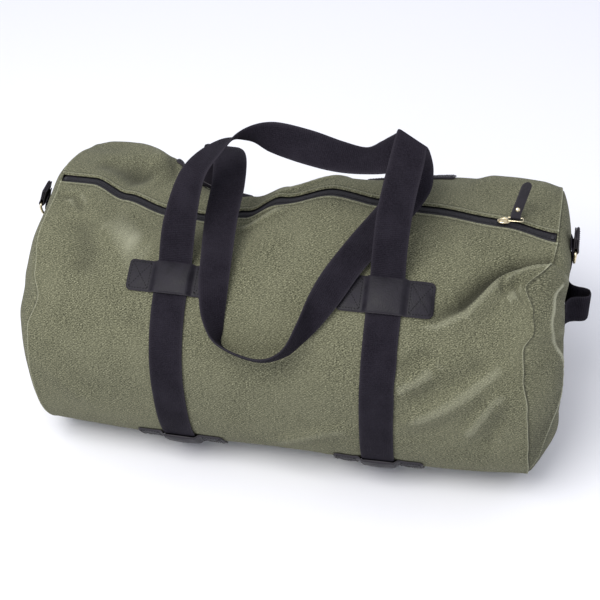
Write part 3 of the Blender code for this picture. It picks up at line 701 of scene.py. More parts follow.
class Nodes:
    """Short names for the nodes of one material, and its colour so far."""

    def __init__(self, name, colour, roughness, metallic=0.0, specular=0.5, sheen=0.0):
        self.paint = bpy.data.materials.new(name)
        self.paint.use_nodes = True
        self.tree = self.paint.node_tree
        self.shader = self.tree.nodes["Principled BSDF"]
        self.colour = colour
        self.fill(self.shader, {"Roughness": roughness, "Metallic": metallic,
                                "Specular IOR Level": specular, "Sheen Weight": sheen,
                                "Sheen Roughness": 0.6})

    def fill(self, node, values):
        for place, value in values.items():
            if hasattr(value, "links"):
                self.tree.links.new(value, node.inputs[place])
            else:
                node.inputs[place].default_value = value

    def add(self, kind, output, values, **settings):
        node = self.tree.nodes.new("ShaderNode" + kind)
        for setting, value in settings.items():
            setattr(node, setting, value)
        self.fill(node, values)
        return node.outputs[output]

    def place(self, kind, stretch=(1, 1, 1)):
        source = self.add("TexCoord", kind, {})
        return self.add("Mapping", "Vector", {"Vector": source, "Scale": stretch})

    def noise(self, size, detail=2.0, roughness=0.5, kind="Object", stretch=(1, 1, 1)):
        return self.add("TexNoise", "Fac", {
            "Vector": self.place(kind, stretch), "Scale": 1 / size, "Detail": detail,
            "Roughness": roughness})

    def cells(self, size):
        return self.add("TexVoronoi", "Distance", {"Vector": self.place("Object"),
                                                   "Scale": 1 / size})

    def wave(self, period, axis, distortion=0.0):
        return self.add("TexWave", "Fac", {
            "Vector": self.place("UV"), "Scale": FULL_TURN / 20 / period,
            "Distortion": distortion}, bands_direction=axis)

    # Reads the attribute that carries wear and painted light and shade.
    def wear_and_painted_light(self):
        return self.add("Attribute", "Fac", {}, attribute_name="wear_and_painted_light")

    def spread(self, value, low, high, to_low=0.0, to_high=1.0):
        return self.add("MapRange", "Result", {
            "Value": value, "From Min": low, "From Max": high, "To Min": to_low,
            "To Max": to_high})

    def combine(self, operation, one, other):
        return self.add("Math", "Value", {0: one, 1: other}, operation=operation)

    def sum(self, one, other, share=1.0):
        return self.combine("ADD", one, self.combine("MULTIPLY", other, share))

    def mix(self, factor, tone):
        """Mixes a tone into the colour so far."""
        start = self.colour if hasattr(self.colour, "links") else (*self.colour, 1)
        self.colour = self.add("Mix", 2, {"Factor": factor, 6: start, 7: (*tone, 1)},
                               data_type="RGBA")

    def tint(self, value, low, high, tone, most=1.0, least=0.0):
        """Mixes in a tone by a value's place between low and high."""
        self.mix(self.spread(value, low, high, least, most), tone)

    def finish(self, height=None, distance=0.0, strength=1.0):
        """Ends the material with its colour and, given a height, its bump."""
        if hasattr(self.colour, "links"):
            self.fill(self.shader, {"Base Color": self.colour})
        else:
            self.fill(self.shader, {"Base Color": (*self.colour, 1)})
        if height is not None:
            normal = self.add("Bump", "Normal", {"Height": height, "Distance": distance,
                                                 "Strength": strength})
            self.fill(self.shader, {"Normal": normal})
        return self.paint


def canvas_paint(name):
    """Heathered olive canvas: fine pale and dark fibres, soft blotches, worn ridges, and painted
    light and shade.
    """
    nodes = Nodes(name, (0.028, 0.029, 0.017), 0.95, specular=0.06, sheen=0.03)
    fibre = nodes.noise(0.0012, 3.0, 0.72, "UV", (0.30, 1, 1))
    fleck = nodes.noise(0.0009, 2.0, 0.70, "UV", (0.5, 1, 1))
    twill = nodes.wave(0.0018, "DIAGONAL", 0.6)
    nodes.tint(fibre, 0.38, 0.60, (0.203, 0.201, 0.124))
    nodes.tint(fleck, 0.53, 0.63, (0.360, 0.353, 0.240), 0.90)
    nodes.tint(fleck, 0.47, 0.37, (0.020, 0.021, 0.014), 0.85)
    nodes.mix(nodes.combine("MULTIPLY", twill, 0.36), (0.046, 0.047, 0.031))
    blotch = nodes.noise(0.009, 3.0, 0.6, "UV", (0.6, 1, 1))
    nodes.tint(blotch, 0.35, 0.65, (0.076, 0.076, 0.049), 0.26)
    nodes.tint(nodes.noise(0.055, 3.0, 0.55), 0.35, 0.65, (0.185, 0.183, 0.120), 0.28)
    # Paler where the attribute is positive (worn ridges and seams, painted light), darker where
    # it is negative (painted shade).
    nodes.tint(nodes.wear_and_painted_light(), 0.15, 2.0, (0.420, 0.420, 0.310), 0.75)
    nodes.tint(nodes.wear_and_painted_light(), -0.15, -2.1, (0.026, 0.026, 0.019), 0.88)
    height = nodes.sum(nodes.sum(fibre, twill, 0.5), fleck)
    return nodes.finish(height, 0.0003, 0.45)


def webbing_paint(name):
    """Near-black cotton webbing with fine ribs across it."""
    pale = (0.0160, 0.0138, 0.0198)
    nodes = Nodes(name, (0.0065, 0.0052, 0.0085), 0.92, specular=0.10)
    rib = nodes.wave(0.0021, "Y", 1.2)
    lint = nodes.noise(0.0016, 3.0, 0.65)
    nodes.tint(lint, 0.35, 0.70, pale)
    nodes.mix(nodes.combine("MULTIPLY", rib, 0.22), pale)
    nodes.tint(nodes.noise(0.030, 2.0, 0.5), 0.40, 0.70, (0.024, 0.021, 0.029), 0.35)
    nodes.tint(nodes.wear_and_painted_light(), 0.0, 1.0, (0.040, 0.036, 0.045), 0.55)
    height = nodes.sum(rib, nodes.wave(0.0024, "X", 0.8), 0.6)
    return nodes.finish(nodes.sum(height, lint, 0.8), 0.0003)


def leather_paint(name):
    """Smooth black leather, a little dusty, with paler edges, a painted highlight where they
    catch light.
    """
    nodes = Nodes(name, (0.0085, 0.0074, 0.0106), 0.50, specular=0.16)
    grain = nodes.cells(0.0016)
    cloud = nodes.noise(0.014, 3.0, 0.6)
    nodes.tint(cloud, 0.30, 0.72, (0.0178, 0.0156, 0.0216))
    nodes.tint(grain, 0.10, 0.60, (0.010, 0.009, 0.013), 0.0, 0.25)
    # Painted highlight along the edges.
    nodes.tint(nodes.wear_and_painted_light(), 0.0, 1.0, (0.050, 0.045, 0.050), 0.70)
    nodes.fill(nodes.shader, {"Roughness": nodes.spread(cloud, 0.3, 0.7, 0.42, 0.58)})
    return nodes.finish(nodes.sum(cloud, grain, 0.5), 0.0004, 0.7)


def thread_paint(name, dark, pale):
    nodes = Nodes(name, dark, 0.75, specular=0.3)
    twist = nodes.noise(0.0007)
    nodes.tint(twist, 0.35, 0.65, pale)
    return nodes.finish(twist, 0.0002)


def zip_paint(name):
    """Black zip tape and plastic teeth."""
    nodes = Nodes(name, (0.008, 0.008, 0.010), 0.62, specular=0.4)
    nodes.tint(nodes.noise(0.0012, 2.0, 0.6), 0.35, 0.70, (0.030, 0.028, 0.034))
    return nodes.finish(nodes.wave(0.0011, "DIAGONAL"), 0.0003)


def brass_paint(name):
    """Pale brass, lightly scuffed."""
    nodes = Nodes(name, (0.66, 0.55, 0.34), 0.25, metallic=1.0)
    scuff = nodes.noise(0.0035, 4.0, 0.65)
    nodes.tint(scuff, 0.35, 0.70, (0.86, 0.78, 0.58))
    nodes.fill(nodes.shader, {"Roughness": nodes.spread(scuff, 0.3, 0.7, 0.18, 0.38)})
    return nodes.finish(scuff, 0.0002, 0.4)


# ---- canvas pieces

def convexity(grid, normals):
    """1 on sharp ridges, -1 in sharp valleys, 0 on the plain oval."""
    reach = 2
    bent = np.zeros(grid.shape[:2])
    for axis in (0, 1):
        before, after = np.roll(grid, reach, axis=axis), np.roll(grid, -reach, axis=axis)
        span = np.linalg.norm(after - before, axis=-1)
        rise = ((grid - (before + after) / 2) * normals).sum(axis=-1)
        edge = [slice(None), slice(None)]
        for part in (slice(0, reach), slice(-reach, None)):
            edge[axis] = part
            rise[tuple(edge)] = 0
        bent += rise / np.maximum(span, 1e-4) ** 2
    return np.clip((bent * 0.20 - 0.35) / 1.6, -1, 1)


# Patches of painted light (+) and painted shade (-) on the left of the top, where light and
# shade fall:
# how much, their slant, place and reach in x and in y, and how sharp their edge is
SLANT_Y = -0.080             # where a slanted patch's x is measured
PAINTED_LIGHT_PATCHES = (
    (-1.1, 0, -0.166, 0.024, 0.095, 0.034, 4),
    (0.75, 0.4, -0.176, 0.021, -0.076, 0.042, 2),
    (-1.1, 0, -0.212, 0.034, 0.056, 0.022, 2),
    (-0.66, 0.4, -0.226, 0.017, -0.088, 0.042, 2),
)


def add_canvas(paint):
    x, y = CANVAS_GRID[..., 0], CANVAS_GRID[..., 1]
    angles = arcs_to_angles(GRID_ARCS)
    places = PLACES[:, None]
    hollow = -crease_height(base_point(places, angles), base_normal(places, angles))
    # Pale worn ridges, and painted shade darkening the valleys.
    wear_and_painted_light = 0.55 * convexity(CANVAS_GRID, CANVAS_NORMALS)
    # Painted light and painted shade, patch by patch.
    for amount, slant, place_x, reach_x, place_y, reach_y, power in PAINTED_LIGHT_PATCHES:
        wear_and_painted_light += amount * (hump(x + slant * (y - SLANT_Y), place_x, reach_x, power)
                          * hump(y, place_y, reach_y, power))
    # Painted shade in the hollow beside the long fold and its pinch.
    wear_and_painted_light -= 2.2 * np.clip(hollow / 0.018, 0, 1) ** 1.6
    wear_and_painted_light += 0.10 * hump(TO_ZIP, 0.0025, 0.0012) + 1.3 * hump(TO_SEAM, 0, 0.0011)
    uv = np.stack(np.broadcast_arrays(places, GRID_ARCS), axis=-1)
    piece = solid_sheet("canvas", CANVAS_GRID, CANVAS_GRID - CANVAS * CANVAS_NORMALS, paint,
                        uv=uv, wear_and_painted_light=np.clip(wear_and_painted_light, -2, 2))
    stands_for(piece, "main_panel")


# The right end's slack bulge, as its middle's places across the bag by height
BULGE_Z = (0.0, 0.03, 0.06, 0.10, 0.14, 0.18, 0.215)
BULGE_Y = (-0.053, -0.076, -0.090, -0.104, -0.120, -0.118, -0.094)

# The crease beside it, as (y, z) along its line
CREASE_LINE = smooth_curve(((-0.159, 0.058), (-0.150, 0.077), (-0.143, 0.105), (-0.135, 0.130),
                            (-0.119, 0.150), (-0.109, 0.177), (-0.113, 0.210),
                            (-0.112, 0.230), (-0.100, 0.240), (-0.077, 0.246),
                            (-0.056, 0.249)), 60)


def end_fold(side, y, z):
    """How far a slack end panel stands out past its plain dome."""
    low = ramp(z, 0.008, 0.038) * np.clip((0.245 - z) / 0.05, 0, 1)
    if side < 0:
        return (low * 0.004 * hump(y, -0.10, 0.05)
                + 0.0040 * hump(y, 0.02, 0.07) * hump(z, 0.238, 0.030))
    front = hump(y, np.interp(z, BULGE_Z, BULGE_Y), 0.034)
    ridge = np.exp(-follow(np.stack([y, z], axis=-1), CREASE_LINE)[0] / 0.004)
    top = hump(y, -0.01, 0.07) * hump(z, 0.245, 0.028)
    foot = hump(y, -0.07, 0.06) * hump(z, 0.060, 0.030)
    return low * 0.0070 * front + 0.0020 * ridge + 0.0045 * top + 0.0050 * foot


END_RINGS = 60
END_AROUND = 300


def end_grid(side):
    """The end panel's outer points, from its rim to its middle."""
    angles = np.linspace(0, FULL_TURN, END_AROUND, endpoint=False)
    rim = canvas_shape(side * HALF_LENGTH, angles)
    plain = base_point(side * HALF_LENGTH, angles)
    share = (1 - np.linspace(0, 1, END_RINGS) ** 1.35 * 0.985)[:, None]
    grid = np.empty((END_RINGS, END_AROUND, 3))
    keep = share ** 3
    for axis, middle in ((1, 0.0), (2, WIDEST_Z)):
        edge = rim[:, axis] * keep + plain[:, axis] * (1 - keep)
        grid[..., axis] = middle + share * (edge - middle)
    pull = (rim[:, 0] - side * HALF_LENGTH) * share ** 5
    depth = (1 - share) * WIDEST_Z
    out = 0.0003 - 0.0014 * hump(depth, 0.0016, 0.0012) + END_BULGE * (1 - share ** 6)
    grid[..., 0] = side * (HALF_LENGTH + out) + pull
    grid[..., 0] += side * end_fold(side, grid[..., 1], grid[..., 2]) * ramp(depth, 0, 0.012)
    wave = 0.0016 * ripple(grid, 0.070, 21.0) + 0.0003 * ripple(grid, 0.024, 5.0)
    grid[..., 0] += side * wave * ramp(depth, 0, 0.010)
    return grid


END_GRIDS = {side: end_grid(side) for _, side in SIDES}


def add_end(name, side, paint):
    grid = END_GRIDS[side]
    along = np.roll(grid, -1, axis=1) - np.roll(grid, 1, axis=1)
    normals = unit(np.cross(along, np.gradient(grid, axis=0)))
    normals *= np.sign(side * normals[..., :1].mean())
    # Pale worn ridges and painted shade in the valleys; darker along the seam's groove.
    wear_and_painted_light = convexity(*(np.concatenate([part[:, -3:], part, part[:, :3]], axis=1)
                       for part in (grid, normals)))[:, 3:-3]
    depth = np.linalg.norm(grid[:, :, 1:] - grid[:1, :, 1:], axis=-1)
    wear_and_painted_light = wear_and_painted_light * ramp(depth, 0.018, 0.038) - 1.3 * hump(depth, 0.0014, 0.0012)
    if side > 0:
        wear_and_painted_light += 1.7 * hump(follow(grid[..., 1:], CREASE_LINE)[0], 0, 0.0018)
        # Painted shade on the right end's lower part, in front of its crease.
        shade = 1 / (1 + np.exp((grid[..., 1] + 0.125) / 0.006))
        wear_and_painted_light -= 0.75 * shade * hump(grid[..., 2], 0.085, 0.060, 4)
    rows, columns = grid.shape[:2]
    below = rows * columns
    outer = grid.reshape(-1, 3)
    middle = grid[-1:].mean(axis=1)
    inward = (side * CANVAS, 0, 0)
    faces = grid_faces(rows, columns, 0, True) + grid_faces(rows, columns, below, True, True)
    for column in range(columns):
        following = (column + 1) % columns
        near, far = below - columns + column, below - columns + following
        faces += [(near, far, 2 * below), (below + far, below + near, 2 * below + 1),
                  (following, column, below + column, below + following)]
    if side > 0:
        faces = [face[::-1] for face in faces]
    points = np.concatenate([outer, outer - inward, middle, middle - inward])
    wear_and_painted_light = np.clip(wear_and_painted_light, -2, 2).ravel()
    piece = add_piece("end_" + name, points, faces, paint, "bag", points[:, 1:],
                      np.concatenate([wear_and_painted_light, wear_and_painted_light, [0, 0]]))
    stands_for(piece, "end_panel_" + name)


END_BLUR = 0.0030            # how far what lies on an end is smoothed


def on_end(side, y, z, lift):
    """Points that stand off an end panel's finished canvas."""
    y, z = np.broadcast_arrays(np.asarray(y, float), np.asarray(z, float))
    grid = END_GRIDS[side].reshape(-1, 3)
    gaps = (y[..., None] - grid[:, 1]) ** 2 + (z[..., None] - grid[:, 2]) ** 2
    gaps -= gaps.min(axis=-1, keepdims=True)
    weights = np.exp(-gaps / (2 * END_BLUR ** 2))
    x = (weights * grid[:, 0]).sum(axis=-1) / weights.sum(axis=-1) + side * lift
    return np.stack([x, y, z], axis=-1)


def add_binding(name, side, paint):
    """The tape bound over the seam's edges inside the bag."""
    end = 0 if side < 0 else -1
    angles = arcs_to_angles(np.linspace(FRONT_ARC[end], REAR_ARC[end], 240))
    outer, inner = (np.stack([on_canvas(side * (HALF_LENGTH - back), angles, -depth)
                              for back in (0.003, 0.006, 0.010, 0.016)])
                    for depth in (0.0030, 0.0048))
    piece = solid_sheet("binding_" + name, outer, inner, paint, wrap=True)
    stands_for(piece, "seam_binding_" + name)


# ---- the zip

ZIP_END_GAP = 0.002          # from the zip's ends to the seams
# Each tape's section: distances from the zip's middle, and lifts off its line
TAPE_OFFSETS = (0.0004, 0.0022, 0.0036, 0.0050, 0.0064, 0.0090, 0.0130)
TAPE_LIFTS = (-0.0012, -0.0011, -0.0013, -0.0012, -0.0016, -0.0030, -0.0032)
TAPE = 0.0007
TOOTH_PITCH = 0.00150
TOOTH_RADIUS = 0.00056
STOP_X = 0.2805
TOPSTITCH_BACK = 0.0055      # from the slot's edge


def zip_frames(places):
    """The middle, the way across and the way up of the zip at places along the bag."""
    front, rear = (sample(CANVAS_GRID, places,
                          angle_at_y(places, zip_line(places) + side * SLOT_HALF))
                   for side in (-1, 1))
    middle = smoothed((front + rear) / 2, 12)
    across = smoothed(rear - front, 12)
    along = unit(np.gradient(middle, axis=0))
    across = unit(across - (across * along).sum(axis=1, keepdims=True) * along)
    return middle, across, np.cross(along, across)


def add_zip(tape_paint, tooth_paint, thread):
    reach = HALF_LENGTH - ZIP_END_GAP
    places = np.linspace(-reach, reach, 700)
    middle, across, up = zip_frames(places)
    run = runs(middle)
    for name, side in (("front", -1), ("rear", 1)):
        offsets = side * np.array(TAPE_OFFSETS)
        top = (middle[:, None] + offsets[None, :, None] * across[:, None]
               + np.array(TAPE_LIFTS)[None, :, None] * up[:, None])
        uv = np.stack(np.broadcast_arrays(offsets[None, :], run[:, None]), axis=-1)
        piece = solid_sheet("tape_" + name, top, top - TAPE * up[:, None], tape_paint, uv=uv)
        stands_for(piece, "zip_tape_" + name)

        count = int(run[-1] / TOOTH_PITCH)
        spots = (np.arange(count) + (0.25 if side > 0 else 0.75)) * run[-1] / count
        centre, wide, high = (at_runs(spots, run, field) for field in (middle, across, up))
        piece = add_stitches("teeth_" + name, centre - side * 0.0003 * wide - 0.0004 * high,
                             centre + side * 0.0026 * wide - 0.0006 * high, high,
                             TOOTH_RADIUS, tooth_paint)
        stands_for(piece, "zip_coil_" + name)

        edge = angle_at_y(places, zip_line(places) + side * SLOT_HALF)
        seam = sample(CANVAS_GRID, places, angle_after(edge, -side * TOPSTITCH_BACK))
        line = smoothed(seam, 4) + 0.0003 * up
        add_stitch_lines("zip_topstitch_" + name, [(line[12:-12], up[12:-12])], ZIP_STITCH,
                         thread)

    turns = np.linspace(0, FULL_TURN, 24, endpoint=False)[:, None]
    square_x, square_y = (np.sign(part) * np.abs(part) ** 0.5
                          for part in (np.cos(turns), np.sin(turns)))
    for name, side in SIDES:
        index = int(np.argmin(np.abs(places - side * STOP_X)))
        wide, high = across[index], up[index]
        outline = 0.0022 * square_x * np.cross(wide, high) + 0.0028 * square_y * wide
        rows = [middle[index] + share * outline + height * high
                for share, height in ((1.0, -0.0014), (1.0, 0.0000), (0.72, 0.0006))]
        piece = add_piece("stop_" + name, np.concatenate(rows), closed_rings(3, 24),
                          tooth_paint)
        stands_for(piece, "zip_stop_" + name)


SLIDER_X = 0.233
SLIDER_BASE = np.array((SLIDER_X, zip_line(SLIDER_X), TOP_Z + 0.0003))
PLATE_PROFILE = ((0.70, 0.0000), (0.92, 0.0002), (1.00, 0.0008), (1.00, 0.0015),
                 (0.94, 0.0021), (0.84, 0.0024), (0.76, 0.0021), (0.70, 0.0017),
                 (0.30, 0.0017))
PLATE_RADIUS = 0.0072
BRIDGE = ((-0.0047, 0, 0.0010), (-0.0045, 0, 0.0034), (-0.0005, 0, 0.0056),
          (0.0040, 0, 0.0054), (0.0058, 0, 0.0036), (0.0060, 0, 0.0010))
BRIDGE_HALF_WIDTH = 0.0011
WIRE_AXIS = SLIDER_BASE + (0.0036, 0, 0.0036)
WIRE_RADIUS = 0.0007
WIRE_LENGTH, WIRE_HALF_WIDTH, WIRE_CORNER = 0.0175, 0.0032, 0.0018
TAB_AXIS = WIRE_AXIS + (0.0089, 0.0032, 0.0012)
TAB_LEAN = math.radians(50)
TAB_TURN = 0.27              # how far the tab's tip is swung along the bag, by its length
TAB_STRAIGHT = 0.003         # the stretch before it starts to swing
TAB_LENGTH = 0.040
TAB_WIDTH = 0.0112
TAB_LEATHER = 0.0013
RIVET_UP = 0.009             # from the wire to the rivet, up the tab
TAB_SHARES = (0.1, 0.25, 0.45, 0.70, 0.86, 0.92, 0.96, 0.985, 1.0)
RIVET_FOOT = ((0.0010, -0.0013), (0.0021, -0.0009), (0.0027, -0.0001), (0.0010, 0))
RIVET_HEAD = ((0.0010, 0), (0.0027, 0.0001), (0.0024, 0.0008), (0.0017, 0.0013),
              (0.0008, 0.0016))


def add_slider(brass, leather):
    plate = lathe("slider_plate", [(PLATE_RADIUS * radius, height)
                                   for radius, height in PLATE_PROFILE],
                  SLIDER_BASE, (0, 0, 1), brass, "slider", 40, 0.64, np.array((1.0, 0, 0)))
    stands_for(plate, "zip_slider")
    path = SLIDER_BASE + BRIDGE
    edges = np.stack([path - (0, BRIDGE_HALF_WIDTH, 0), path + (0, BRIDGE_HALF_WIDTH, 0)],
                     axis=1)
    bridge = strap("slider_bridge", smooth_curve(edges, 28), 0.0009, brass, "slider", 6)
    stands_for(bridge)

    centres = []
    far, wide = WIRE_LENGTH - WIRE_CORNER, WIRE_HALF_WIDTH - WIRE_CORNER
    for quarter, (middle_x, middle_y) in enumerate(
            ((far, wide), (WIRE_CORNER, wide), (WIRE_CORNER, -wide), (far, -wide))):
        for turn in np.radians(np.linspace(90 * quarter, 90 * quarter + 90, 9)):
            x = middle_x + WIRE_CORNER * math.cos(turn)
            rise = 0.0012 * min(1.0, x / WIRE_CORNER)
            centres.append(WIRE_AXIS + (x, middle_y + WIRE_CORNER * math.sin(turn), rise))
    wire = tube("pull_wire", centres, WIRE_RADIUS, brass, "pull", 12)
    stands_for(wire, "zip_pull")

    up = np.array((0, math.cos(TAB_LEAN), math.sin(TAB_LEAN)))
    out = np.array((0, -math.sin(TAB_LEAN), math.cos(TAB_LEAN)))
    wrap = WIRE_RADIUS + 0.0003 + TAB_LEATHER / 2
    path = [(share * TAB_LENGTH, wrap + 0.0004 * (share > 0.5)) for share in TAB_SHARES[::-1]]
    path += [(wrap * math.cos(turn), wrap * math.sin(turn))
             for turn in np.radians(np.linspace(90, 270, 9))]
    path += [(share * (TAB_LENGTH - 0.001),
              -wrap - 0.0019 * max(0.0, share - 0.25) - 0.0012 * max(0.0, share - 0.7))
             for share in TAB_SHARES]
    edges = []
    for distance, offset in path:
        tip = max(0.0, distance - (TAB_LENGTH - TAB_WIDTH / 2)) / (TAB_WIDTH / 2)
        half = TAB_WIDTH / 2 * math.sqrt(1 - min(tip, 0.97) ** 2)
        middle = TAB_AXIS + distance * up + offset * out
        middle += (TAB_TURN * max(0.0, distance - TAB_STRAIGHT), 0, 0)
        edges.append((middle - (half, 0, 0), middle + (half, 0, 0)))
    tab = strap("leather_pull", smooth_curve(edges, 120), TAB_LEATHER, leather, "tab")
    stands_for(tab, "pull_tab")
    high = wrap + TAB_LEATHER / 2
    profile = [(radius, rise - high) for radius, rise in RIVET_FOOT]
    profile += [(radius, rise + high) for radius, rise in RIVET_HEAD]
    rivet = lathe("rivet", profile, TAB_AXIS + RIVET_UP * up
                  + ((RIVET_UP - TAB_STRAIGHT) * TAB_TURN, 0, 0), out, brass, "tab")
    stands_for(rivet, "pull_rivet")


# ---- bands, keepers, handles

def add_band(name, x, paint):
    start = angle_after(angle_at_y(x, -UPPER_KEEPER_Y), 0.006)
    angles = np.linspace(start, FULL_TURN - start, 420)
    edges = []
    for side in (-1, 1):
        line = on_canvas(x + side * WEBBING_WIDTH / 2, angles, WEBBING / 2 + SEWN_GAP)
        line[:, 2] = np.maximum(line[:, 2], WEBBING / 2 + 0.0001)
        edges.append(smoothed(line, 6))
    band = strap("band_" + name, np.stack(edges, axis=1), WEBBING, paint)
    stands_for(band, "webbing_band_" + name)


PATCH = 0.0280               # length of a keeper's flat patch each side
CORNER = 0.0045              # radius of its corners
STITCH_INNER = KEEPER_LENGTH / 2 - PATCH + 0.0025
STITCH_OUTER = KEEPER_LENGTH / 2 - 0.0032
STITCH_LOW, STITCH_HIGH = 0.085, 0.915


def keeper_lift(u, v):
    """How far a keeper's underside stands off the canvas, v from 0 at its inner edge."""
    middle = WEBBING_WIDTH / 2
    slope = eased(ramp(np.abs(u), middle - 0.001, middle + 0.005))
    crown = np.clip(1 - (u / middle) ** 2, 0, 1) * np.sin(math.pi * np.clip(v, 0, 1)) ** 0.6
    return SEWN_GAP + (WEBBING + 0.0018 + 0.0016 * crown) * (1 - slope)


def eased_steps(count, tightness):
    """Steps from -1 to 1 that shorten towards both ends."""
    turns = np.linspace(-1, 1, count) * math.pi / 2 * tightness
    return np.sin(turns) / math.sin(math.pi / 2 * tightness)


def add_keeper(place, face, side_name, x, start, leather, thread):
    name = "_".join(("keeper", place, face, side_name))
    half = KEEPER_LENGTH / 2
    u = half * eased_steps(71, 0.75)
    v = 0.5 + 0.5 * eased_steps(31, 0.8)
    past = np.clip(np.abs(u) - half + CORNER, 0, CORNER)
    inset = (CORNER - np.sqrt(CORNER ** 2 - past ** 2)) / KEEPER_HEIGHT
    share = inset[:, None] + v[None, :] * (1 - 2 * inset[:, None])
    places = np.broadcast_to((x + u)[:, None], share.shape)
    angles = angle_after(start, share * KEEPER_HEIGHT)
    if face == "rear":
        angles = FULL_TURN - angles
    edge = np.minimum((half - np.abs(u))[:, None],
                      np.minimum(v, 1 - v)[None, :] * KEEPER_HEIGHT)
    thick = LEATHER * (0.45 + 0.55 * np.sqrt(ramp(edge, 0, 0.0012)))
    base = sample(CANVAS_GRID, places, angles)
    normals = unit(sample(CANVAS_NORMALS, places, angles))
    for _ in range(5):
        base[1:-1] = (base[:-2] + 2 * base[1:-1] + base[2:]) / 4
        base[:, 1:-1] = (base[:, :-2] + 2 * base[:, 1:-1] + base[:, 2:]) / 4
    inner = base + keeper_lift(u[:, None], share)[..., None] * normals
    outer = inner + thick[..., None] * normals
    # Its edges are paler: a painted highlight where they catch light.
    keeper = solid_sheet(name, outer, inner, leather, wear_and_painted_light=0.9 * hump(edge, 0, 0.0007))
    level = "upper" if place == "top" else "lower"
    stands_for(keeper, "_".join((level, "keeper", face, side_name)))

    def line(one, other):
        rows = np.interp(np.linspace(one[0], other[0], 40), u, np.arange(len(u)))
        columns = np.interp(np.linspace(one[1], other[1], 40), v, np.arange(len(v)))
        ups = normals[rows.astype(int), columns.astype(int)]
        return between(outer, rows, columns) + 0.0001 * ups, ups

    lines = []
    for side in (-1, 1):
        a, b, c, d = ((side * at_u, at_v) for at_u, at_v in (
            (STITCH_INNER, STITCH_LOW), (STITCH_OUTER, STITCH_LOW),
            (STITCH_OUTER, STITCH_HIGH), (STITCH_INNER, STITCH_HIGH)))
        lines += [line(*pair) for pair in ((a, b), (b, c), (c, d), (d, a), (a, c), (b, d))]
    add_stitch_lines("stitches_" + name, lines, KEEPER_STITCH, thread)


# The front handle is drawn flat, as (x, distance up from its keepers, height off the
# sheet towards the front), and the sheet is then stood up and leant back.
FRONT_HANDLE = (
    ((-0.137, 0.000, 0.000), (-0.099, 0.000, 0.000)),
    ((-0.130, 0.0445, 0.000), (-0.093, 0.0465, 0.000)),
    ((-0.114, 0.1025, -0.010), (-0.083, 0.0925, 0.011)),
    ((-0.080, 0.1365, -0.017), (-0.066, 0.1195, 0.016)),
    ((-0.046, 0.1395, -0.018), (-0.047, 0.1445, 0.018)),
    ((-0.019, 0.1275, -0.012), (-0.017, 0.1575, 0.011)),
    ((0.018, 0.1170, -0.005), (0.024, 0.1535, 0.003)),
    ((0.053, 0.1110, -0.003), (0.058, 0.1460, -0.013)),
    ((0.084, 0.1110, -0.005), (0.083, 0.1425, -0.020)),
    ((0.114, 0.1155, -0.006), (0.099, 0.1490, -0.011)),
    ((0.134, 0.1290, -0.0055), (0.105, 0.1520, -0.006)),
    ((0.1485, 0.1410, -0.0048), (0.1155, 0.1590, -0.0048)),
    ((0.1500, 0.1435, -0.0024), (0.1170, 0.1615, -0.0024)),
    ((0.1485, 0.1410, 0.0000), (0.1155, 0.1590, 0.0000)),
    ((0.1475, 0.1255, 0.001), (0.1110, 0.1315, 0.001)),
    ((0.1415, 0.0815, 0.001), (0.1035, 0.0785, 0.001)),
    ((0.138, 0.0355, 0.000), (0.1005, 0.0355, 0.000)),
    ((0.137, 0.000, 0.000), (0.099, 0.000, 0.000)),
)
LEAN_AT_KEEPER = math.radians(82)
LEAN_AT_TOP = math.radians(47)
LEAN_LENGTH = 0.110          # the lean changes over this much of the sheet
LEAN_STEPS = 40
SHEET_SCALE = 0.975

# The rear handle, from its left keeper over the bag's top, down its front and back.
REAR_HANDLE = (
    ((-0.137, 0.091, 0.2715), (-0.099, 0.0845, 0.2650)),
    ((-0.131, 0.082, 0.290), (-0.094, 0.077, 0.286)),
    ((-0.116, 0.055, 0.317), (-0.078, 0.055, 0.3155)),
    ((-0.099, 0.018, 0.330), (-0.060, 0.018, 0.331)),
    ((-0.091, -0.022, 0.323), (-0.053, -0.023, 0.323)),
    ((-0.091, -0.060, 0.303), (-0.054, -0.060, 0.303)),
    ((-0.088, -0.098, 0.281), (-0.053, -0.100, 0.278)),
    ((-0.083, -0.134, 0.265), (-0.053, -0.130, 0.252)),
    ((-0.072, -0.166, 0.245), (-0.054, -0.152, 0.226)),
    ((-0.050, -0.190, 0.236), (-0.052, -0.166, 0.208)),
    ((-0.008, -0.198, 0.228), (-0.012, -0.173, 0.200)),
    ((0.018, -0.190, 0.236), (0.018, -0.168, 0.208)),
    ((0.031, -0.168, 0.256), (0.036, -0.159, 0.222)),
    ((0.039, -0.136, 0.270), (0.052, -0.148, 0.237)),
    ((0.050, -0.106, 0.282), (0.070, -0.129, 0.256)),
    ((0.071, -0.062, 0.294), (0.092, -0.092, 0.277)),
    ((0.096, -0.024, 0.311), (0.124, -0.046, 0.296)),
    ((0.113, 0.000, 0.324), (0.150, -0.007, 0.318)),
    ((0.113, 0.022, 0.333), (0.152, 0.020, 0.332)),
    ((0.106, 0.048, 0.337), (0.144, 0.050, 0.336)),
    ((0.101, 0.074, 0.319), (0.139, 0.074, 0.319)),
    ((0.099, 0.088, 0.295), (0.137, 0.088, 0.295)),
    ((0.099, 0.094, 0.2745), (0.137, 0.094, 0.2745)),
)
HANDLE_ROOT_Z = joint_place("front_handle_swing")[2]
TUCK = 0.016                 # how far a handle reaches under its keepers


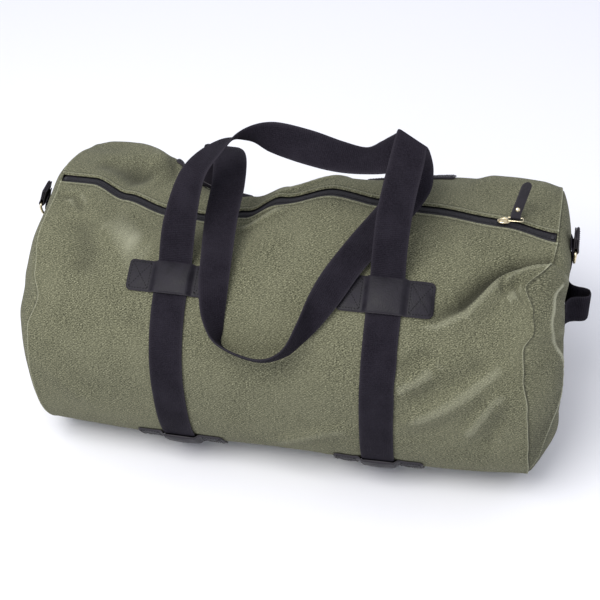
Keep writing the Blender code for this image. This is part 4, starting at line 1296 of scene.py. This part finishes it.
def stand_up(flat):
    """Lifts points of the flat front handle to their places over the bag."""
    flat = np.asarray(flat, float)
    distance, height = SHEET_SCALE * flat[..., 1], flat[..., 2]

    def lean(share):
        turned = np.minimum(1.0, distance * share / LEAN_LENGTH)
        return LEAN_AT_KEEPER + (LEAN_AT_TOP - LEAN_AT_KEEPER) * turned

    y = -UPPER_KEEPER_Y - np.sin(lean(1)) * height
    z = HANDLE_ROOT_Z + np.cos(lean(1)) * height
    for share in (np.arange(LEAN_STEPS) + 0.5) / LEAN_STEPS:
        y += np.cos(lean(share)) * distance / LEAN_STEPS
        z += np.sin(lean(share)) * distance / LEAN_STEPS
    return np.stack([flat[..., 0], y, z], axis=-1)


def tucked_in(edges, rear):
    """Adds to both ends of a handle the stretch that lies under its keepers."""
    def under(pair, reach):
        made = []
        for x, _, _ in pair:
            angle = angle_after(angle_at_y(x, -UPPER_KEEPER_Y), reach)
            angle = FULL_TURN - angle if rear else angle
            made.append(on_canvas(x, angle, SEWN_GAP + WEBBING * 1.5 + 0.0002))
        return made

    reaches = (TUCK, TUCK / 2, 0.002)
    return np.concatenate([[under(edges[0], reach) for reach in reaches], edges[1:-1],
                           [under(edges[-1], reach) for reach in reaches[::-1]]])


def add_handle(name, edges, samples, rear, paint):
    curve = smooth_curve(tucked_in(np.asarray(edges), rear), samples)
    handle = strap(name, curve, WEBBING, paint, None)
    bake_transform(handle)
    stands_for(handle, name)


# ---- the ends

END_Y = 0.010
BAR_Z = 0.251
TAB_HEIGHT = 0.021
TAB_LEANS = {-1: 0.0080, 1: 0.0005}   # how far each tab leans in towards its top
TAB_HALF_WIDTH = 0.011
TAB_STITCH_HALF, TAB_STITCH_LOW, TAB_STITCH_HIGH = 0.0085, 0.004, 0.0165
RING_WIRE = 0.0016
RING_DROP = 0.019
STRIP = 0.0014
STRIP_HALF_WIDTH = 0.0125
GRAB_Z = 0.166
GRAB_STAND_OFF = 0.030
END_GAP = 0.0004


def add_end_strip(name, side, webbing):
    """The strip down an end, whose upper end is doubled."""
    heights = np.linspace(0.030, BAR_Z + 0.008, 120)
    lifts = END_GAP + STRIP / 2 + 0.0016 * eased(ramp(heights, 0.240, 0.246))
    edges = np.stack([on_end(side, END_Y + share * STRIP_HALF_WIDTH, heights, lifts)
                      for share in (-side, side)], axis=1)
    strip = strap("strip_" + name, edges, STRIP, webbing, across=10)
    stands_for(strip, "end_strip_" + name)


def add_ring_tab(name, side, bar, leather, thread):
    """The leather tab, rolled round the D-ring's bar with its edge turned in."""
    wrap = RING_WIRE + 0.0003 + LEATHER / 2
    layer = LEATHER + 0.0001
    fold = layer / 2
    path = [(TAB_HEIGHT * share, -layer) for share in (0.9, 0.7, 0.5, 0.3)]
    path += [(wrap * math.sin(turn), wrap * math.cos(turn))
             for turn in np.radians(np.linspace(180, 360, 13))]
    path += [(TAB_HEIGHT * share, layer) for share in (0.3, 0.5, 0.7, 0.85)]
    path += [(TAB_HEIGHT * 0.88 + fold * math.sin(turn), fold + fold * math.cos(turn))
             for turn in np.radians((30, 60, 90, 120, 150))]
    path += [(TAB_HEIGHT * share, 0.0) for share in (0.85, 0.6, 0.4, 0.30)]

    def place(across, rise, out):
        slant = TAB_LEANS[side] * max(0.0, rise / TAB_HEIGHT)
        return bar + (side * (out - slant), across, rise)

    edges = [(place(-TAB_HALF_WIDTH, rise, out), place(TAB_HALF_WIDTH, rise, out))
             for rise, out in path]
    tab = strap("tab_" + name, smooth_curve(edges, 140), LEATHER, leather)
    stands_for(tab, "ring_tab_" + name)
    a, b, c, d = ((across, rise) for rise in (TAB_STITCH_LOW, TAB_STITCH_HIGH)
                  for across in (-TAB_STITCH_HALF, TAB_STITCH_HALF))
    lines = []
    for one, other in ((a, c), (b, d), (c, d), (a, b)):
        line = np.stack([place(across, rise, layer + LEATHER / 2 + 0.0001)
                         for across, rise in np.linspace(one, other, 20)])
        lines.append((line, np.broadcast_to((side * 1.0, 0, 0), line.shape)))
    add_stitch_lines("stitches_tab_" + name, lines, TAB_STITCH, thread)


def add_ring(name, bar, brass):
    half = TAB_HALF_WIDTH + 0.003
    centres = [bar + (0, y, 0) for y in np.linspace(-half + 0.002, half - 0.002, 12)]
    for turn in np.linspace(0, math.pi, 42)[1:-1]:
        centres.append(bar + (0, half * math.cos(turn), -RING_DROP * math.sin(turn) ** 0.8))
    ring = tube("ring_" + name, centres, RING_WIRE, brass, "ring_" + name, 16)
    stands_for(ring, "d_ring_" + name)


def add_grab_handle(name, side, webbing):
    rest = END_GAP + STRIP + END_GAP + WEBBING / 2
    leg = [(-0.036, rest), (-0.027, rest), (-0.0185, rest + 0.0008), (-0.0120, 0.0085),
           (-0.0090, 0.0155), (-0.0080, 0.0225), (-0.0055, 0.0283)]
    edges = []
    for y, lift in leg + [(0, GRAB_STAND_OFF)] + [(-y, lift) for y, lift in leg[::-1]]:
        share = np.clip((lift - rest) / 0.02, 0, 1)
        level, low, high = on_end(side, y + END_Y, GRAB_Z + WEBBING_WIDTH * np.array(
            (0, -0.5, 0.5)), lift)
        for edge in (low, high):
            edge[0] += (level[0] - edge[0]) * share
        edges.append((low, high) if side > 0 else (high, low))
    grab = strap("grab_" + name, smooth_curve(edges, 130), WEBBING, webbing)
    stands_for(grab, "grab_handle_" + name)


# ---- the whole

def add_bag():
    canvas = canvas_paint("olive_canvas")
    webbing = webbing_paint("black_webbing")
    leather = leather_paint("black_leather")
    brass = brass_paint("pale_brass")
    black_thread = thread_paint("black_thread", (0.002, 0.002, 0.003), (0.006, 0.005, 0.007))
    olive_thread = thread_paint("olive_thread", (0.055, 0.055, 0.036), (0.12, 0.12, 0.078))
    add_canvas(canvas)
    for name, side in SIDES:
        add_end(name, side, canvas)
        add_binding(name, side, webbing)
        add_band(name, side * BAND_X, webbing)
        start = angle_at_y(side * BAND_X, -UPPER_KEEPER_Y)
        for place, angle in (("top", start), ("foot", LOWER_KEEPER_ANGLE)):
            for face in ("front", "rear"):
                add_keeper(place, face, name, side * BAND_X, angle, leather, black_thread)
        bar = joint_place("d_ring_" + name + "_swing")
        add_end_strip(name, side, webbing)
        add_ring_tab(name, side, bar, leather, black_thread)
        add_ring(name, bar, brass)
        add_grab_handle(name, side, webbing)
    add_zip(zip_paint("zip_tape"), zip_paint("zip_teeth"), olive_thread)
    add_slider(brass, leather)
    add_handle("front_handle", stand_up(FRONT_HANDLE), 330, False, webbing)
    add_handle("rear_handle", REAR_HANDLE, 420, True, webbing)


add_camera()
add_studio()
add_bag()
